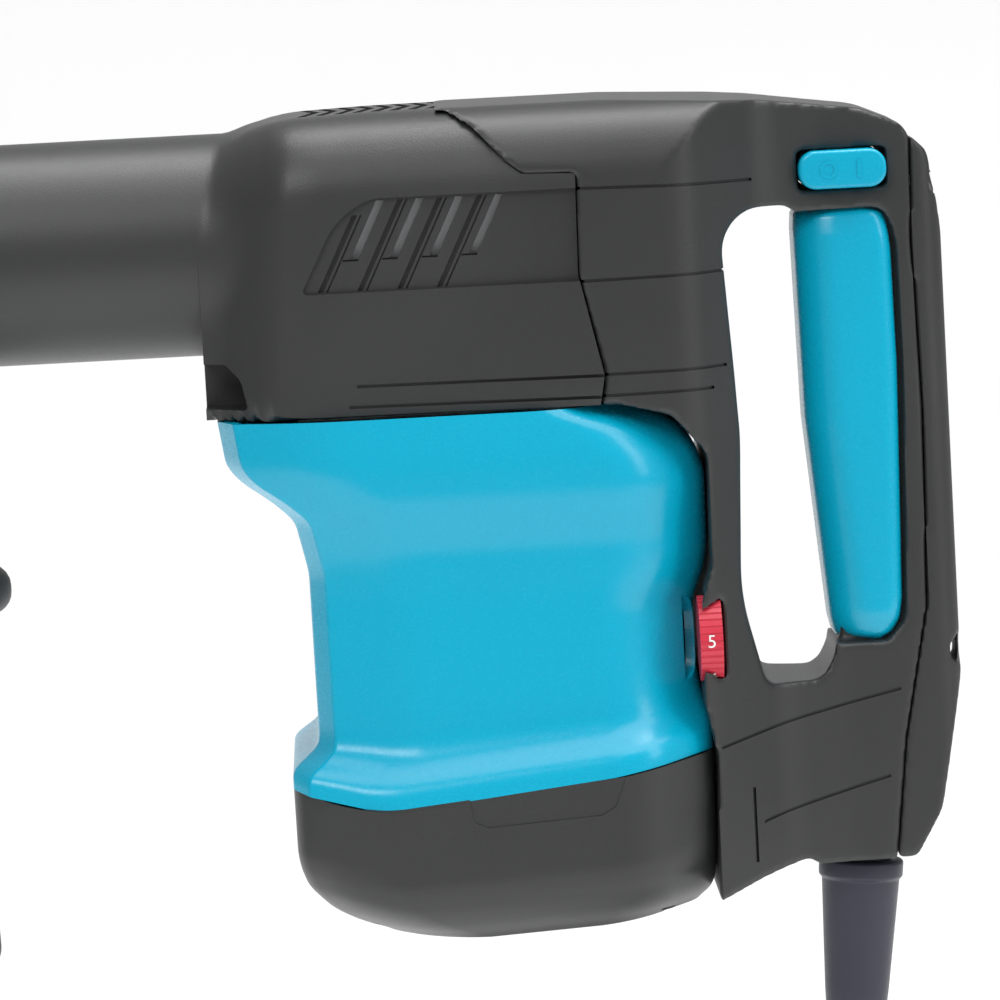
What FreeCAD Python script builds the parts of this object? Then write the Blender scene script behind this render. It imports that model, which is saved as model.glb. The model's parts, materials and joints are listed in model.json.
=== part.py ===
import FreeCAD, Part
import math
import os

import Sketcher

# Demolition hammer with an 18 mm shank bore, an upright motor and a D handle.
# Millimetres. X runs along the strike axis from the bore mouth (0) to the back of the
# handle, Z is up and Y is across. The bore mouth is the origin.

DIMENSIONS = [
    # tool end
    ("bore_rad", 9.05, "bore for the 18 mm shank"),
    ("bore_long", 26.0, "close fitting front stretch of the bore"),
    ("holder_rad", 16.0, "front part of the tool holder"),
    ("collar_rad", 21.0, "rear part of the tool holder"),
    ("holder_step", 58.0, "where the holder gets thicker"),
    ("holder_end", 118.0, "rear end of the holder"),
    ("chamber_start", 92.0, "front of the impact bolt's chamber"),
    ("chamber_rad", 13.2, "impact bolt's chamber"),
    ("roller_rad", 4.0, "locking roller"),
    ("roller_mid", 38.0, "middle of the locking rollers"),
    ("sleeve_start", 22.0, "front of the release sleeve"),
    ("sleeve_long", 33.0, "length of the release sleeve"),
    ("ring_start", 69.0, "front of the angle change ring"),
    ("ring_wide", 16.0, "length of the change ring"),
    # strike train
    ("bolt_tail", 143.0, "rear end of the impact bolt at rest"),
    ("piston_rad", 16.95, "piston and striker"),
    ("cylinder_bore", 17.0, "inside of the cylinder"),
    ("barrel_bore", 21.2, "inside of the metal barrel"),
    ("barrel_rad", 26.5, "outside of the metal barrel"),
    ("piston_front", 222.8, "front face of the piston at rest"),
    ("piston_long", 34.0, "length of the piston"),
    ("pin_back", 22.0, "piston face to piston pin"),
    ("rod_long", 62.0, "connecting rod between its eyes"),
    ("crank_throw", 16.0, "crank radius"),
    # drive
    ("tooth_size", 0.8, "gear module"),
    ("pinion_teeth", 8.0, "teeth of the pinion"),
    ("gear_teeth", 60.0, "teeth of the crank gear"),
    ("gear_wide", 10.0, "face width of the crank gear"),
    ("motor_axis", 318.0, "motor axis along the tool"),
    ("core_rad", 25.0, "armature core"),
    ("stator_rad", 44.0, "outside of the stator"),
    ("fan_rad", 36.0, "cooling fan"),
    # housings
    ("shell", 3.0, "wall of the plastic housings"),
    ("tube_rad", 31.5, "outside of the barrel tube"),
    ("body_half", 46.0, "half width of the crank housing"),
    ("body_top", 36.6, "top of the crank housing above the strike axis"),
    ("motor_top", -48.4, "seam between crank housing and motor housing"),
    ("motor_half", 52.0, "half width of the motor housing"),
    ("base_half", 58.0, "half width of the bottom cover"),
    ("base_low", -198.6, "lowest line of the bottom cover"),
    ("base_seam", -157.3, "front of the seam above the bottom cover"),
    ("back_end", 449.0, "rear face of the handle"),
    ("grip_half", 18.5, "half width of the grip"),
    # controls
    ("lever_mid", 419.0, "middle of the switch lever along the tool"),
    ("lever_high", 13.2, "middle of the switch lever above the axis"),
    ("lever_out", 5.0, "how far the lever stands out when off"),
    ("dial_rad", 12.0, "speed dial"),
    ("dial_wide", 6.4, "width of the speed dial"),
    # side grip
    ("grip_mid", 150.0, "middle of the side grip's band"),
    ("grip_flange", 27.0, "side grip's upper flange"),
    ("grip_long", 118.0, "side grip below its flange"),
    # cord
    ("cord_rad", 4.5, "power cord"),
    ("ring_rad", 54.0, "middle line of the put away cord"),
    ("bundle_rad", 18.5, "section of the put away cord"),
    ("guard_long", 60.0, "cord guard below the handle"),
]

doc = FreeCAD.newDocument("demolition_hammer")
X_AXIS = FreeCAD.Vector(1, 0, 0)
Y_AXIS = FreeCAD.Vector(0, 1, 0)
Z_AXIS = FreeCAD.Vector(0, 0, 1)
UPRIGHT = FreeCAD.Rotation(Y_AXIS, -90)
RUN = 0.02
GAP = 0.3
sub_parts = []


# ---------------------------------------------------------------- driving sizes

class Size:
    """A number that remembers the sheet expression it was worked out from."""

    def __init__(self, value, text):
        self.value = value
        self.text = text

    def join(self, other, sign, value):
        return Size(value, "(%s %s %s)" % (self.text, sign, wording(other)))

    def __add__(self, other):
        return self.join(other, "+", self.value + number(other))

    def __sub__(self, other):
        return self.join(other, "-", self.value - number(other))

    def __mul__(self, other):
        return self.join(other, "*", self.value * number(other))

    def __truediv__(self, other):
        return self.join(other, "/", self.value / number(other))

    def __neg__(self):
        return Size(-self.value, "(-1 * %s)" % self.text)


def number(size):
    return size.value if isinstance(size, Size) else float(size)


def wording(size):
    return size.text if isinstance(size, Size) else repr(float(size))


def fill_sheet():
    sheet = doc.addObject("Spreadsheet::Sheet", "Sizes")
    for row, (alias, value, meaning) in enumerate(DIMENSIONS, start=1):
        sheet.set("A%d" % row, meaning)
        sheet.set("B%d" % row, str(value))
        sheet.setAlias("B%d" % row, alias)
    doc.recompute()
    return sheet


sheet = fill_sheet()


def dim(alias):
    return Size(float(sheet.get(alias)), "Sizes." + alias)


def mm(alias):
    return float(sheet.get(alias))


# ---------------------------------------------------------------- helpers

def vec(x, y, z):
    return FreeCAD.Vector(number(x), number(y), number(z))


def keep(piece, name):
    """Register a finished sub-part under its node name."""
    piece.Label = name
    sub_parts.append(piece)
    return piece


def put(piece, x=0, y=0, z=0, rotation=None):
    """Place an object, with each coordinate bound to the sheet where it has an expression."""
    piece.Placement = FreeCAD.Placement(vec(x, y, z), rotation or FreeCAD.Rotation())
    for letter, size in zip("xyz", (x, y, z)):
        if isinstance(size, Size):
            piece.setExpression("Placement.Base." + letter, size.text)
    return piece


def set_size(piece, prop, size):
    setattr(piece, prop, number(size))
    if isinstance(size, Size):
        piece.setExpression(prop, size.text)


def plane_of(body, role):
    for feature in body.Origin.OriginFeatures:
        if feature.Role == role:
            return feature
    raise ValueError(role)


def new_sketch(body, name, role):
    sketch = body.newObject("Sketcher::SketchObject", name)
    sketch.AttachmentSupport = [(plane_of(body, role), "")]
    sketch.MapMode = "FlatFace"
    return sketch


def pin_corner(sketch, edge, kind, axis, size):
    """Fix one coordinate of an edge's start; a zero puts the point on the axis."""
    if number(size) == 0:
        sketch.addConstraint(Sketcher.Constraint("PointOnObject", edge, 1, axis))
        return
    index = sketch.addConstraint(Sketcher.Constraint(kind, -1, 1, edge, 1, number(size)))
    if isinstance(size, Size):
        sketch.setExpression("Constraints[%d]" % index, size.text)


def draw_profile(sketch, corners):
    points = [vec(u, v, 0) for u, v in corners]
    for start, end in zip(points, points[1:] + points[:1]):
        sketch.addGeometry(Part.LineSegment(start, end))
    for edge in range(len(points)):
        following = (edge + 1) % len(points)
        sketch.addConstraint(Sketcher.Constraint("Coincident", edge, 2, following, 1))
    for edge, (u, v) in enumerate(corners):
        pin_corner(sketch, edge, "DistanceX", -2, u)
        pin_corner(sketch, edge, "DistanceY", -1, v)


def turned(name, corners):
    """A body turned about its own X axis from (along, radius) corners."""
    body = doc.addObject("PartDesign::Body", name)
    sketch = new_sketch(body, name + "_profile", "XY_Plane")
    draw_profile(sketch, corners)
    turn = body.newObject("PartDesign::Revolution", name + "_turn")
    turn.Profile = sketch
    turn.ReferenceAxis = (sketch, ["H_Axis"])
    turn.Angle = 360
    body.Tip = turn
    return body


def ring(name, start, long, inner, outer):
    """A plain ring along X."""
    return turned(name, [(start, inner), (start, outer), (start + long, outer), (start + long, inner)])


def block(name, long, wide, high, x=0, y=0, z=0):
    box = doc.addObject("Part::Box", name)
    set_size(box, "Length", long)
    set_size(box, "Width", wide)
    set_size(box, "Height", high)
    return put(box, x, y, z)


def rod(name, radius, long, x=0, y=0, z=0, rotation=None):
    cylinder = doc.addObject("Part::Cylinder", name)
    set_size(cylinder, "Radius", radius)
    set_size(cylinder, "Height", long)
    return put(cylinder, x, y, z, rotation)


def cut(name, base, tools):
    fused = doc.addObject("Part::MultiFuse", name + "_tools")
    fused.Shapes = tools
    result = doc.addObject("Part::Cut", name)
    result.Base = base
    result.Tool = fused if len(tools) > 1 else tools[0]
    if len(tools) == 1:
        doc.removeObject(fused.Name)
    return result


def fuse(name, pieces):
    result = doc.addObject("Part::MultiFuse", name)
    result.Shapes = pieces
    return result


def feature(name, shape):
    piece = doc.addObject("Part::Feature", name)
    piece.Shape = shape
    return keep(piece, name)


def rounded_wire(corners, place):
    """A closed outline from (u, v, radius) corners, each rounded by a tangent arc."""
    count = len(corners)
    spots = [FreeCAD.Vector(u, v, 0) for u, v, radius in corners]
    starts, middles, ends = [], [], []
    for index, (u, v, radius) in enumerate(corners):
        here = spots[index]
        if radius == 0:
            starts.append(here)
            middles.append(None)
            ends.append(here)
            continue
        to_last = (spots[index - 1] - here).normalize()
        to_next = (spots[(index + 1) % count] - here).normalize()
        half = to_last.getAngle(to_next) / 2
        reach = radius / math.tan(half)
        starts.append(here + to_last * reach)
        ends.append(here + to_next * reach)
        centre = here + (to_last + to_next).normalize() * (radius / math.sin(half))
        middles.append(centre + (here - centre).normalize() * radius)
    edges = []
    for index in range(count):
        if middles[index]:
            arc = [place(point) for point in (starts[index], middles[index], ends[index])]
            edges.append(Part.Arc(*arc).toShape())
        line = [place(ends[index]), place(starts[(index + 1) % count])]
        if (line[1] - line[0]).Length > 1e-4:
            edges.append(Part.LineSegment(*line).toShape())
    return Part.Wire(edges)


def side_slab(corners, half):
    """An outline drawn in X and Z, as thick as the given half width to each side."""
    wire = rounded_wire(corners, lambda p: FreeCAD.Vector(p.x, -half, p.y))
    return Part.Face(wire).extrude(Y_AXIS * (2 * half))


def plan_slab(corners, low, high):
    """An outline drawn in X and Y, from one height to another."""
    wire = rounded_wire(corners, lambda p: FreeCAD.Vector(p.x, p.y, low))
    return Part.Face(wire).extrude(Z_AXIS * (high - low))


def end_slab(corners, start, end):
    """An outline drawn in Y and Z, from one place along the tool to another."""
    wire = rounded_wire(corners, lambda p: FreeCAD.Vector(start, p.x, p.y))
    return Part.Face(wire).extrude(X_AXIS * (end - start))


def both_sides(half_outline):
    """Close a (u, v, radius) half outline, given for positive v, by its mirror image."""
    return half_outline + [(u, -v, radius) for u, v, radius in reversed(half_outline)]


def across(half_outline):
    """Close a (u, v, radius) half outline, given for positive u, by its mirror image."""
    return half_outline + [(-u, v, radius) for u, v, radius in reversed(half_outline)]


def box_shape(x0, x1, y0, y1, z0, z1):
    return Part.makeBox(x1 - x0, y1 - y0, z1 - z0, FreeCAD.Vector(x0, y0, z0))


def post(radius, x, y, low, high):
    return Part.makeCylinder(radius, high - low, FreeCAD.Vector(x, y, low), Z_AXIS)


def bar(radius, start, end, y=0, z=0):
    return Part.makeCylinder(radius, end - start, FreeCAD.Vector(start, y, z), X_AXIS)


def screws(spots, reach, axis, head_rad=4.0, head_high=3.0, shank_rad=2.0):
    """Round headed screws as separate solids; axis points from the tip to the head."""
    solids = []
    for spot in spots:
        head_base = spot - axis * head_high
        tip = spot - axis * reach
        shank = Part.makeCylinder(shank_rad, reach - head_high, tip, axis)
        head = Part.makeCylinder(head_rad, head_high, head_base, axis)
        socket = Part.makeCylinder(head_rad * 0.45, head_high * 0.6, spot - axis * (head_high * 0.6), axis)
        solids.append(shank.fuse(head).removeSplitter().cut(socket))
    return solids


def screw_holes(spots, reach, axis, head_rad=4.0, head_high=3.0, shank_rad=2.0, way_out=6.0):
    """What the screws take out of the parts they hold, with the head's way out."""
    holes = []
    for spot in spots:
        holes.append(Part.makeCylinder(shank_rad + RUN, reach + RUN, spot - axis * (reach + RUN), axis))
        holes.append(Part.makeCylinder(head_rad + RUN, head_high + way_out, spot - axis * head_high, axis))
    return holes


# ---------------------------------------------------------------- tool end

def make_tool_holder():
    """Shank guide, then a slightly wider bore past the locking rollers to the impact bolt."""
    relief = 0.25
    holder = turned("holder_turned", [
        (0, dim("bore_rad")),
        (0, dim("holder_rad")),
        (dim("holder_step"), dim("holder_rad")),
        (dim("holder_step"), dim("collar_rad")),
        (dim("holder_end"), dim("collar_rad")),
        (dim("holder_end"), dim("chamber_rad")),
        (dim("chamber_start"), dim("chamber_rad")),
        (dim("chamber_start"), dim("bore_rad") + relief),
        (dim("bore_long"), dim("bore_rad") + relief),
        (dim("bore_long"), dim("bore_rad")),
    ])
    width = dim("roller_rad") * 2 + 0.3
    windows = block("roller_windows", 20.4, 40, width, dim("roller_mid") - 10.2, -20, -width / 2)
    keep(cut("tool_holder", holder, [windows]), "tool_holder")


def make_locking_rollers():
    out = dim("roller_rad") + 7.0
    turn = FreeCAD.Rotation(Y_AXIS, 90)
    pair = [rod("roller_%d" % index, dim("roller_rad"), 20, dim("roller_mid") - 10, out * side, 0, turn)
            for index, side in enumerate((1, -1))]
    rollers = doc.addObject("Part::Compound", "locking_rollers")
    rollers.Links = pair
    keep(rollers, "locking_rollers")


def make_nose_cap():
    hole = dim("holder_rad") + 0.1
    cap = turned("nose_cap", [(0, hole), (0, 19.5), (4, 24), (16.9, 25.5), (16.9, hole)])
    keep(cap, "nose_cap")


def make_release_sleeve():
    start = dim("sleeve_start")
    end = start + dim("sleeve_long")
    sleeve = turned("release_sleeve", [
        (start, dim("holder_rad") + 0.2),
        (start, 24),
        (start + 4, 27),
        (end - 10, 27.5),
        (end - 6, 30),
        (end, 30),
        (end, 22.4),
        (end - 5.8, 22.4),
        (end - 5.8, 19.2),
        (start + 5, 19.2),
        (start + 5, dim("holder_rad") + 0.2),
    ])
    keep(sleeve, "release_sleeve")


def make_roller_ring():
    inner = dim("holder_rad") + 0.1
    keep(ring("roller_ring", dim("sleeve_start") + 5.1, 22, inner, 19.1), "roller_ring")


def make_release_spring():
    """Compression spring between the roller ring and the holder's shoulder."""
    wire_rad = 0.8
    coil_rad = mm("holder_rad") + 1.3
    start = mm("sleeve_start") + 28.1
    reach = mm("holder_step") - start - 2 * wire_rad - 0.2
    helix = Part.makeHelix(reach / 3, reach, coil_rad)
    circle = Part.Circle(FreeCAD.Vector(coil_rad, 0, 0), Y_AXIS, wire_rad)
    spring = Part.Wire(helix).makePipeShell([Part.Wire(circle.toShape())], True, True)
    piece = feature("release_spring", spring)
    turn = FreeCAD.Rotation(Y_AXIS, 90)
    piece.Placement = FreeCAD.Placement(vec(start + wire_rad, 0, 0), turn)


def make_change_ring():
    """Knurled ring with a notch for each of the twelve bit angles."""
    start = dim("ring_start")
    end = start + dim("ring_wide")
    inner = dim("collar_rad") + 0.15
    body = turned("change_ring", [
        (start, inner), (start, 25), (start + 2, 27), (end - 2, 27), (end, 25), (end, inner)])
    doc.recompute()
    whole = body.Shape.Volume
    sketch = new_sketch(body, "notch_profile", "YZ_Plane")
    sketch.addGeometry(Part.Circle(FreeCAD.Vector(27.6, 0, 0), Z_AXIS, 2.0))
    pocket = body.newObject("PartDesign::Pocket", "notch")
    pocket.Profile = sketch
    pocket.Type = 1
    pocket.Midplane = True
    pattern = body.newObject("PartDesign::PolarPattern", "notches")
    pattern.Originals = [pocket]
    pattern.Axis = (plane_of(body, "X_Axis"), [""])
    pattern.Angle = 360
    pattern.Occurrences = 12
    body.Tip = pattern
    doc.recompute()
    if body.Shape.Volume >= whole:
        raise ValueError("the notches cut nothing")
    keep(body, "change_ring")


# ---------------------------------------------------------------- strike train

def make_impact_bolt():
    tail = dim("bolt_tail")
    collar_end = dim("holder_end") - 0.5
    collar = dim("chamber_rad") - 0.3
    bolt = turned("impact_bolt", [
        (84, 0), (84, 7.8), (85, 8.8), (collar_end - 14, 8.8), (collar_end - 14, collar),
        (collar_end, collar), (collar_end, 10), (tail - 1, 10), (tail, 9), (tail, 0)])
    keep(bolt, "impact_bolt")


def make_bolt_stops():
    start = dim("holder_end") + 0.4
    keep(ring("bolt_damper", start, 5.5, 10.4, dim("collar_rad") - 0.2), "bolt_damper")
    keep(ring("bolt_sleeve", start + 5.6, 15.8, 10.05, dim("barrel_bore") - 0.05), "bolt_sleeve")


def make_cylinder():
    sleeve = ring("cylinder_tube", 140, 106, dim("cylinder_bore"), dim("barrel_bore") - 0.05)
    vents = [rod("vent_%d" % index, 1.5, 60, dim("bolt_tail") + 36, 0, 0,
                 FreeCAD.Rotation(X_AXIS, index * 60)) for index in range(6)]
    keep(cut("cylinder", sleeve, vents), "cylinder")


def make_striker():
    end = dim("piston_front") - 8.8
    start = end - 36
    outer = dim("piston_rad")
    groove = outer - 2.05
    striker = turned("striker", [
        (start, 0), (start, 9.5), (start + 8, 9.5), (start + 11, outer), (end - 10, outer),
        (end - 10, groove), (end - 6, groove), (end - 6, outer), (end, outer), (end, 0)])
    keep(striker, "striker")
    keep(ring("striker_o_ring", end - 9.8, 3.6, groove + 0.02, outer + 0.02), "striker_o_ring")


def make_piston():
    start = dim("piston_front")
    end = start + dim("piston_long")
    outer = dim("piston_rad")
    groove = outer - 2.05
    crown = turned("piston_turned", [
        (start, 0), (start, outer), (start + 5, outer), (start + 5, groove), (start + 9, groove),
        (start + 9, outer), (end, outer), (end, 12), (start + 13, 12), (start + 13, 0)])
    hole = rod("pin_hole", 3.5, 40, start + dim("pin_back"), 0, -20)
    keep(cut("piston", crown, [hole]), "piston")
    keep(ring("piston_o_ring", start + 5.2, 3.6, groove + 0.02, outer + 0.02), "piston_o_ring")
    keep(rod("piston_pin", 3.48, 32, start + dim("pin_back"), 0, -16), "piston_pin")


def make_connecting_rod():
    small = dim("piston_front") + dim("pin_back")
    big = small + dim("rod_long")
    eyes = [rod("small_eye", 7.5, 10, small, 0, -5), rod("big_eye", 10, 10, big, 0, -5),
            block("rod_beam", dim("rod_long"), 9, 8, small, -4.5, -4)]
    holes = [rod("small_hole", 3.5, 20, small, 0, -10), rod("big_hole", 5.02, 20, big, 0, -10)]
    keep(cut("connecting_rod", fuse("rod_blank", eyes), holes), "connecting_rod")
    keep(rod("crank_pin", 5.0, 11.2, big, 0, -5.7), "crank_pin")


# ---------------------------------------------------------------- crank and gears

def crank_place():
    return dim("piston_front") + dim("pin_back") + dim("rod_long") - dim("crank_throw")


def make_crankshaft():
    shaft = turned("crankshaft_turned", [
        (0, 0), (0, 6), (11, 6), (11, 8.5), (34, 8.5), (34, 24), (42, 24), (42, 0)])
    put(shaft, crank_place(), 0, -48, UPRIGHT)
    seat = rod("crank_pin_seat", 5.02, 10, crank_place() + dim("crank_throw"), 0, -9)
    keep(cut("crankshaft", shaft, [seat]), "crankshaft")


def toothed_wheel(teeth, size, wide, phase):
    """A spur wheel about Z from its tooth count, with straight sided teeth."""
    pitch = teeth * size / 2
    root = pitch - 1.15 * size
    tip = pitch + 0.85 * size
    step = 2 * math.pi / teeth
    corners = []
    for tooth in range(teeth):
        middle = tooth * step + phase
        for radius, share in ((root, -0.33), (tip, -0.13), (tip, 0.13), (root, 0.33)):
            angle = middle + share * step
            corners.append(FreeCAD.Vector(radius * math.cos(angle), radius * math.sin(angle), 0))
    return Part.Face(Part.makePolygon(corners + corners[:1])).extrude(Z_AXIS * wide)


def make_crank_gear():
    teeth = int(mm("gear_teeth"))
    half_tooth = math.pi / teeth
    wheel = toothed_wheel(teeth, mm("tooth_size"), mm("gear_wide"), half_tooth)
    wheel = wheel.cut(Part.makeCylinder(8.5 + RUN, mm("gear_wide")))
    for index in range(5):
        angle = index * 2 * math.pi / 5
        spot = FreeCAD.Vector(15.5 * math.cos(angle), 15.5 * math.sin(angle), 0)
        wheel = wheel.cut(Part.makeCylinder(3.2, mm("gear_wide"), spot))
    put(feature("crank_gear", wheel), crank_place(), 0, -35)


def make_bearing(name, inner, outer, wide, x, z):
    """A ball bearing about Z: two grooved rings and its balls, as separate solids."""
    middle = (inner + outer) / 2
    ball = (outer - inner) * 0.28
    track = Part.makeTorus(middle, ball + RUN, FreeCAD.Vector(0, 0, wide / 2))
    inside = Part.makeCylinder(middle - ball * 0.55, wide).cut(Part.makeCylinder(inner, wide))
    outside = Part.makeCylinder(outer, wide).cut(Part.makeCylinder(middle + ball * 0.55, wide))
    count = int(2 * math.pi * middle / (2.5 * ball))
    solids = [inside.cut(track), outside.cut(track)]
    for index in range(count):
        angle = index * 2 * math.pi / count
        spot = FreeCAD.Vector(middle * math.cos(angle), middle * math.sin(angle), wide / 2)
        solids.append(Part.makeSphere(ball, spot))
    put(feature(name, Part.makeCompound(solids)), x, 0, z)


def make_bearings():
    make_bearing("crank_bearing_upper", 8.5 + RUN, 17.5, 10, crank_place(), -24.6)
    make_bearing("crank_bearing_lower", 6 + RUN, 16, 10, crank_place(), -47)
    make_bearing("motor_bearing_upper", 4 + RUN, 11, 7, dim("motor_axis"), -58.5)
    make_bearing("motor_bearing_lower", 3.5 + RUN, 11, 7, dim("motor_axis"), -177)


CASE_FRONT = 262.0
CASE_BACK = 340.0
CASE_SPLIT = -24.6
CASE_LOW = -51.0


def crank_case_outline(low, high):
    """Rounded crank case section in Y and Z."""
    half = mm("body_half") - mm("shell") - 2
    return across([(half, low, 3), (half, high, 18 if high > 0 else 3)])


def make_gear_housing():
    crank = number(crank_place())
    split = CASE_SPLIT
    case = end_slab(crank_case_outline(split, mm("body_top") - mm("shell") - 1.4), CASE_FRONT, CASE_BACK)
    for hollow in (
            box_shape(CASE_FRONT + 4, 323, -31, 31, -14.3, 16),
            box_shape(CASE_FRONT - 1, CASE_FRONT + 5, -25, 25, -10, 10),
            box_shape(268, 316, -24, 24, 15, 40),
            post(17.5 + RUN, crank, 0, split - 1, -14),
            post(26, crank, 0, split - 1, split),
            post(7, mm("motor_axis"), 0, split - 1, split + 4)):
        case = case.cut(hollow)
    ledge = box_shape(266, 318, -26, 26, 29.1, 40)
    case = case.cut(ledge)
    case = drilled(case, case_spots(), 24, -Z_AXIS)
    feature("gear_housing", case)


def make_gear_cover():
    """Lower half of the crank case, with the seat of the motor's upper bearing."""
    crank = number(crank_place())
    motor = mm("motor_axis")
    top = CASE_SPLIT - 0.1
    low = CASE_LOW
    case = end_slab(crank_case_outline(low, top), CASE_FRONT, CASE_BACK)
    case = case.fuse(post(15, motor, 0, -59, low + 1))
    for hollow in (
            post(26, crank, 0, -36, top + 1),
            post(16 + RUN, crank, 0, -47.02, -35),
            post(7, crank, 0, -48.3, -46),
            post(11 + RUN, motor, 0, -60, -51.48),
            post(7, motor, 0, -52, top + 1)):
        case = case.cut(hollow)
    feature("gear_cover", drilled(case, case_spots(), 24, -Z_AXIS))


def case_spots():
    """Heads of the four screws that clamp the two halves of the crank case."""
    low = CASE_LOW + 3
    return [FreeCAD.Vector(x, y, low) for x in (267, 335) for y in (-35, 35)]


def drilled(shape, spots, reach, axis, head_rad=4.0, head_high=3.0, shank_rad=2.0):
    for hole in screw_holes(spots, reach, axis, head_rad, head_high, shank_rad):
        shape = shape.cut(hole)
    return shape


def make_crank_lid():
    lid = box_shape(266.2, 317.8, -25.8, 25.8, 29.2, 31.9)
    lid = lid.makeFillet(3, [edge for edge in lid.Edges if is_upright(edge)])
    feature("crank_lid", lid)
    feature("case_screws", Part.makeCompound(screws(case_spots(), 24, -Z_AXIS)))


def is_upright(edge):
    start, end = edge.Vertexes[0].Point, edge.Vertexes[-1].Point
    return (end - start).getAngle(Z_AXIS) in (0, math.pi)


def make_barrel():
    keep(turned("barrel", [
        (88, dim("barrel_bore")), (88, dim("barrel_rad") - 1), (89, dim("barrel_rad")),
        (254, dim("barrel_rad")), (254, 29), (261.9, 29), (261.9, dim("barrel_bore"))]), "barrel")


# ---------------------------------------------------------------- motor

def make_armature():
    """Shaft with the pinion cut in its upper end."""
    low = -186.0
    shaft = Part.makeCylinder(3.5, 17, FreeCAD.Vector(0, 0, low))
    shaft = shaft.fuse(Part.makeCylinder(5, 109.8, FreeCAD.Vector(0, 0, low + 16.9)))
    shaft = shaft.fuse(Part.makeCylinder(4, 22, FreeCAD.Vector(0, 0, low + 126.6)))
    teeth = toothed_wheel(int(mm("pinion_teeth")), mm("tooth_size"), 14.6, math.pi)
    teeth.translate(FreeCAD.Vector(0, 0, -37.6))
    put(feature("armature_shaft", shaft.fuse(teeth).removeSplitter()), dim("motor_axis"), 0, 0)


def make_armature_core():
    core = Part.makeCylinder(mm("core_rad"), 50).cut(Part.makeCylinder(5 + RUN, 50))
    for index in range(12):
        slot = box_shape(18, 30, -1.4, 1.4, 0, 50)
        slot.rotate(FreeCAD.Vector(0, 0, 0), Z_AXIS, index * 30)
        core = core.cut(slot)
    put(feature("armature_core", core), dim("motor_axis"), 0, -138)


def make_commutator():
    keep(put(ring("commutator", 0, 18, 5 + RUN, 14), dim("motor_axis"), 0, -164, UPRIGHT), "commutator")


def make_cooling_fan():
    outer = mm("fan_rad")
    fan = Part.makeCylinder(outer, 2).fuse(Part.makeCylinder(12, 14))
    for index in range(11):
        blade = box_shape(11, outer - 1, -1, 1, 1, 14)
        blade.rotate(FreeCAD.Vector(11, 0, 0), Z_AXIS, 18)
        blade.rotate(FreeCAD.Vector(0, 0, 0), Z_AXIS, index * 360 / 11)
        fan = fan.fuse(blade)
    fan = fan.cut(Part.makeCylinder(5 + RUN, 20, FreeCAD.Vector(0, 0, -1)))
    put(feature("cooling_fan", fan.removeSplitter()), dim("motor_axis"), 0, -78)


def make_stator():
    outer = mm("stator_rad")
    stack = Part.makeCylinder(outer, 50).cut(Part.makeCylinder(mm("core_rad") + 0.8, 50))
    for side in (-1, 1):
        pocket = box_shape(-14, 14, 29, 38, 0, 50)
        pocket.rotate(FreeCAD.Vector(0, 0, 0), Z_AXIS, 90 * side)
        stack = stack.cut(pocket)
    put(feature("stator", Part.makeCompound([stack] + field_coils())), dim("motor_axis"), 0, -138)


def field_coils():
    """The two windings in the stator's pockets, with their end turns."""
    coils = []
    for side in (-1, 1):
        coil = box_shape(-13.8, 13.8, 29.2, 37.8, -6, 56)
        coil.rotate(FreeCAD.Vector(0, 0, 0), Z_AXIS, 90 * side)
        coils.append(coil)
    return coils


def make_brushes():
    motor = mm("motor_axis")
    holders = []
    brushes = []
    for side in (-1, 1):
        holder = box_shape(motor - 5, motor + 5, 16, 41, -162, -148)
        holder = holder.cut(box_shape(motor - 3.15, motor + 3.15, 15, 38, -160.2, -149.8))
        brush = box_shape(motor - 3.1, motor + 3.1, 14.1, 32, -160.1, -149.9)
        if side < 0:
            holder = holder.mirror(FreeCAD.Vector(0, 0, 0), Y_AXIS)
            brush = brush.mirror(FreeCAD.Vector(0, 0, 0), Y_AXIS)
        holders.append(holder)
        brushes.append(brush)
    feature("brush_holders", Part.makeCompound(holders))
    feature("carbon_brushes", Part.makeCompound(brushes))


BRACKET_LOW = -177.0
BRACKET_TOP = -170.0


def make_bearing_bracket():
    """Spider that carries the lower motor bearing."""
    motor = mm("motor_axis")
    plate = post(46, motor, 0, BRACKET_LOW, BRACKET_TOP)
    for spot in bottom_spots():
        plate = plate.fuse(post(5.5, spot.x, spot.y, BRACKET_LOW, BRACKET_TOP))
        middle = (spot + FreeCAD.Vector(motor, 0, spot.z)) * 0.5
        arm = Part.makeBox(34, 9, BRACKET_TOP - BRACKET_LOW, FreeCAD.Vector(-4, -4.5, 0))
        way = math.degrees(math.atan2(spot.y, spot.x - motor))
        arm.rotate(FreeCAD.Vector(0, 0, 0), Z_AXIS, way)
        arm.translate(FreeCAD.Vector(middle.x, middle.y, BRACKET_LOW))
        plate = plate.fuse(arm)
    plate = plate.cut(post(11 + RUN, motor, 0, -178, -169))
    for index in range(4):
        angle = math.radians(45 + 90 * index)
        plate = plate.cut(post(11, motor + 29 * math.cos(angle), 29 * math.sin(angle), -178, -169))
    feature("bearing_bracket", drilled(plate, bottom_spots(), 40, -Z_AXIS).removeSplitter())


# ---------------------------------------------------------------- housings

def motor_side(inset):
    """Side outline of the motor housing, moved in by the given wall."""
    top = mm("motor_top") + inset
    low = mm("base_seam") - 2 * inset
    return [
        (239.5 + inset, top, 1.5), (240.5 + inset, -61, 4), (259 + inset, -76, 12),
        (262.5 + inset, -92, 20), (262.5 + inset, -142, 5), (255 + inset, -151.5, 2.5),
        (255 + inset, low, 0.5), (281, low - 3, 20), (374.4 - inset, low + 8, 0.5),
        (371.4 - inset, -134, 6), (371.4 - inset, -106, 6), (375.4 - inset, -94, 8),
        (375.8 - inset, -64, 8), (366 - inset, top - 4, 5), (352 - inset, top, 8)]


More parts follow.
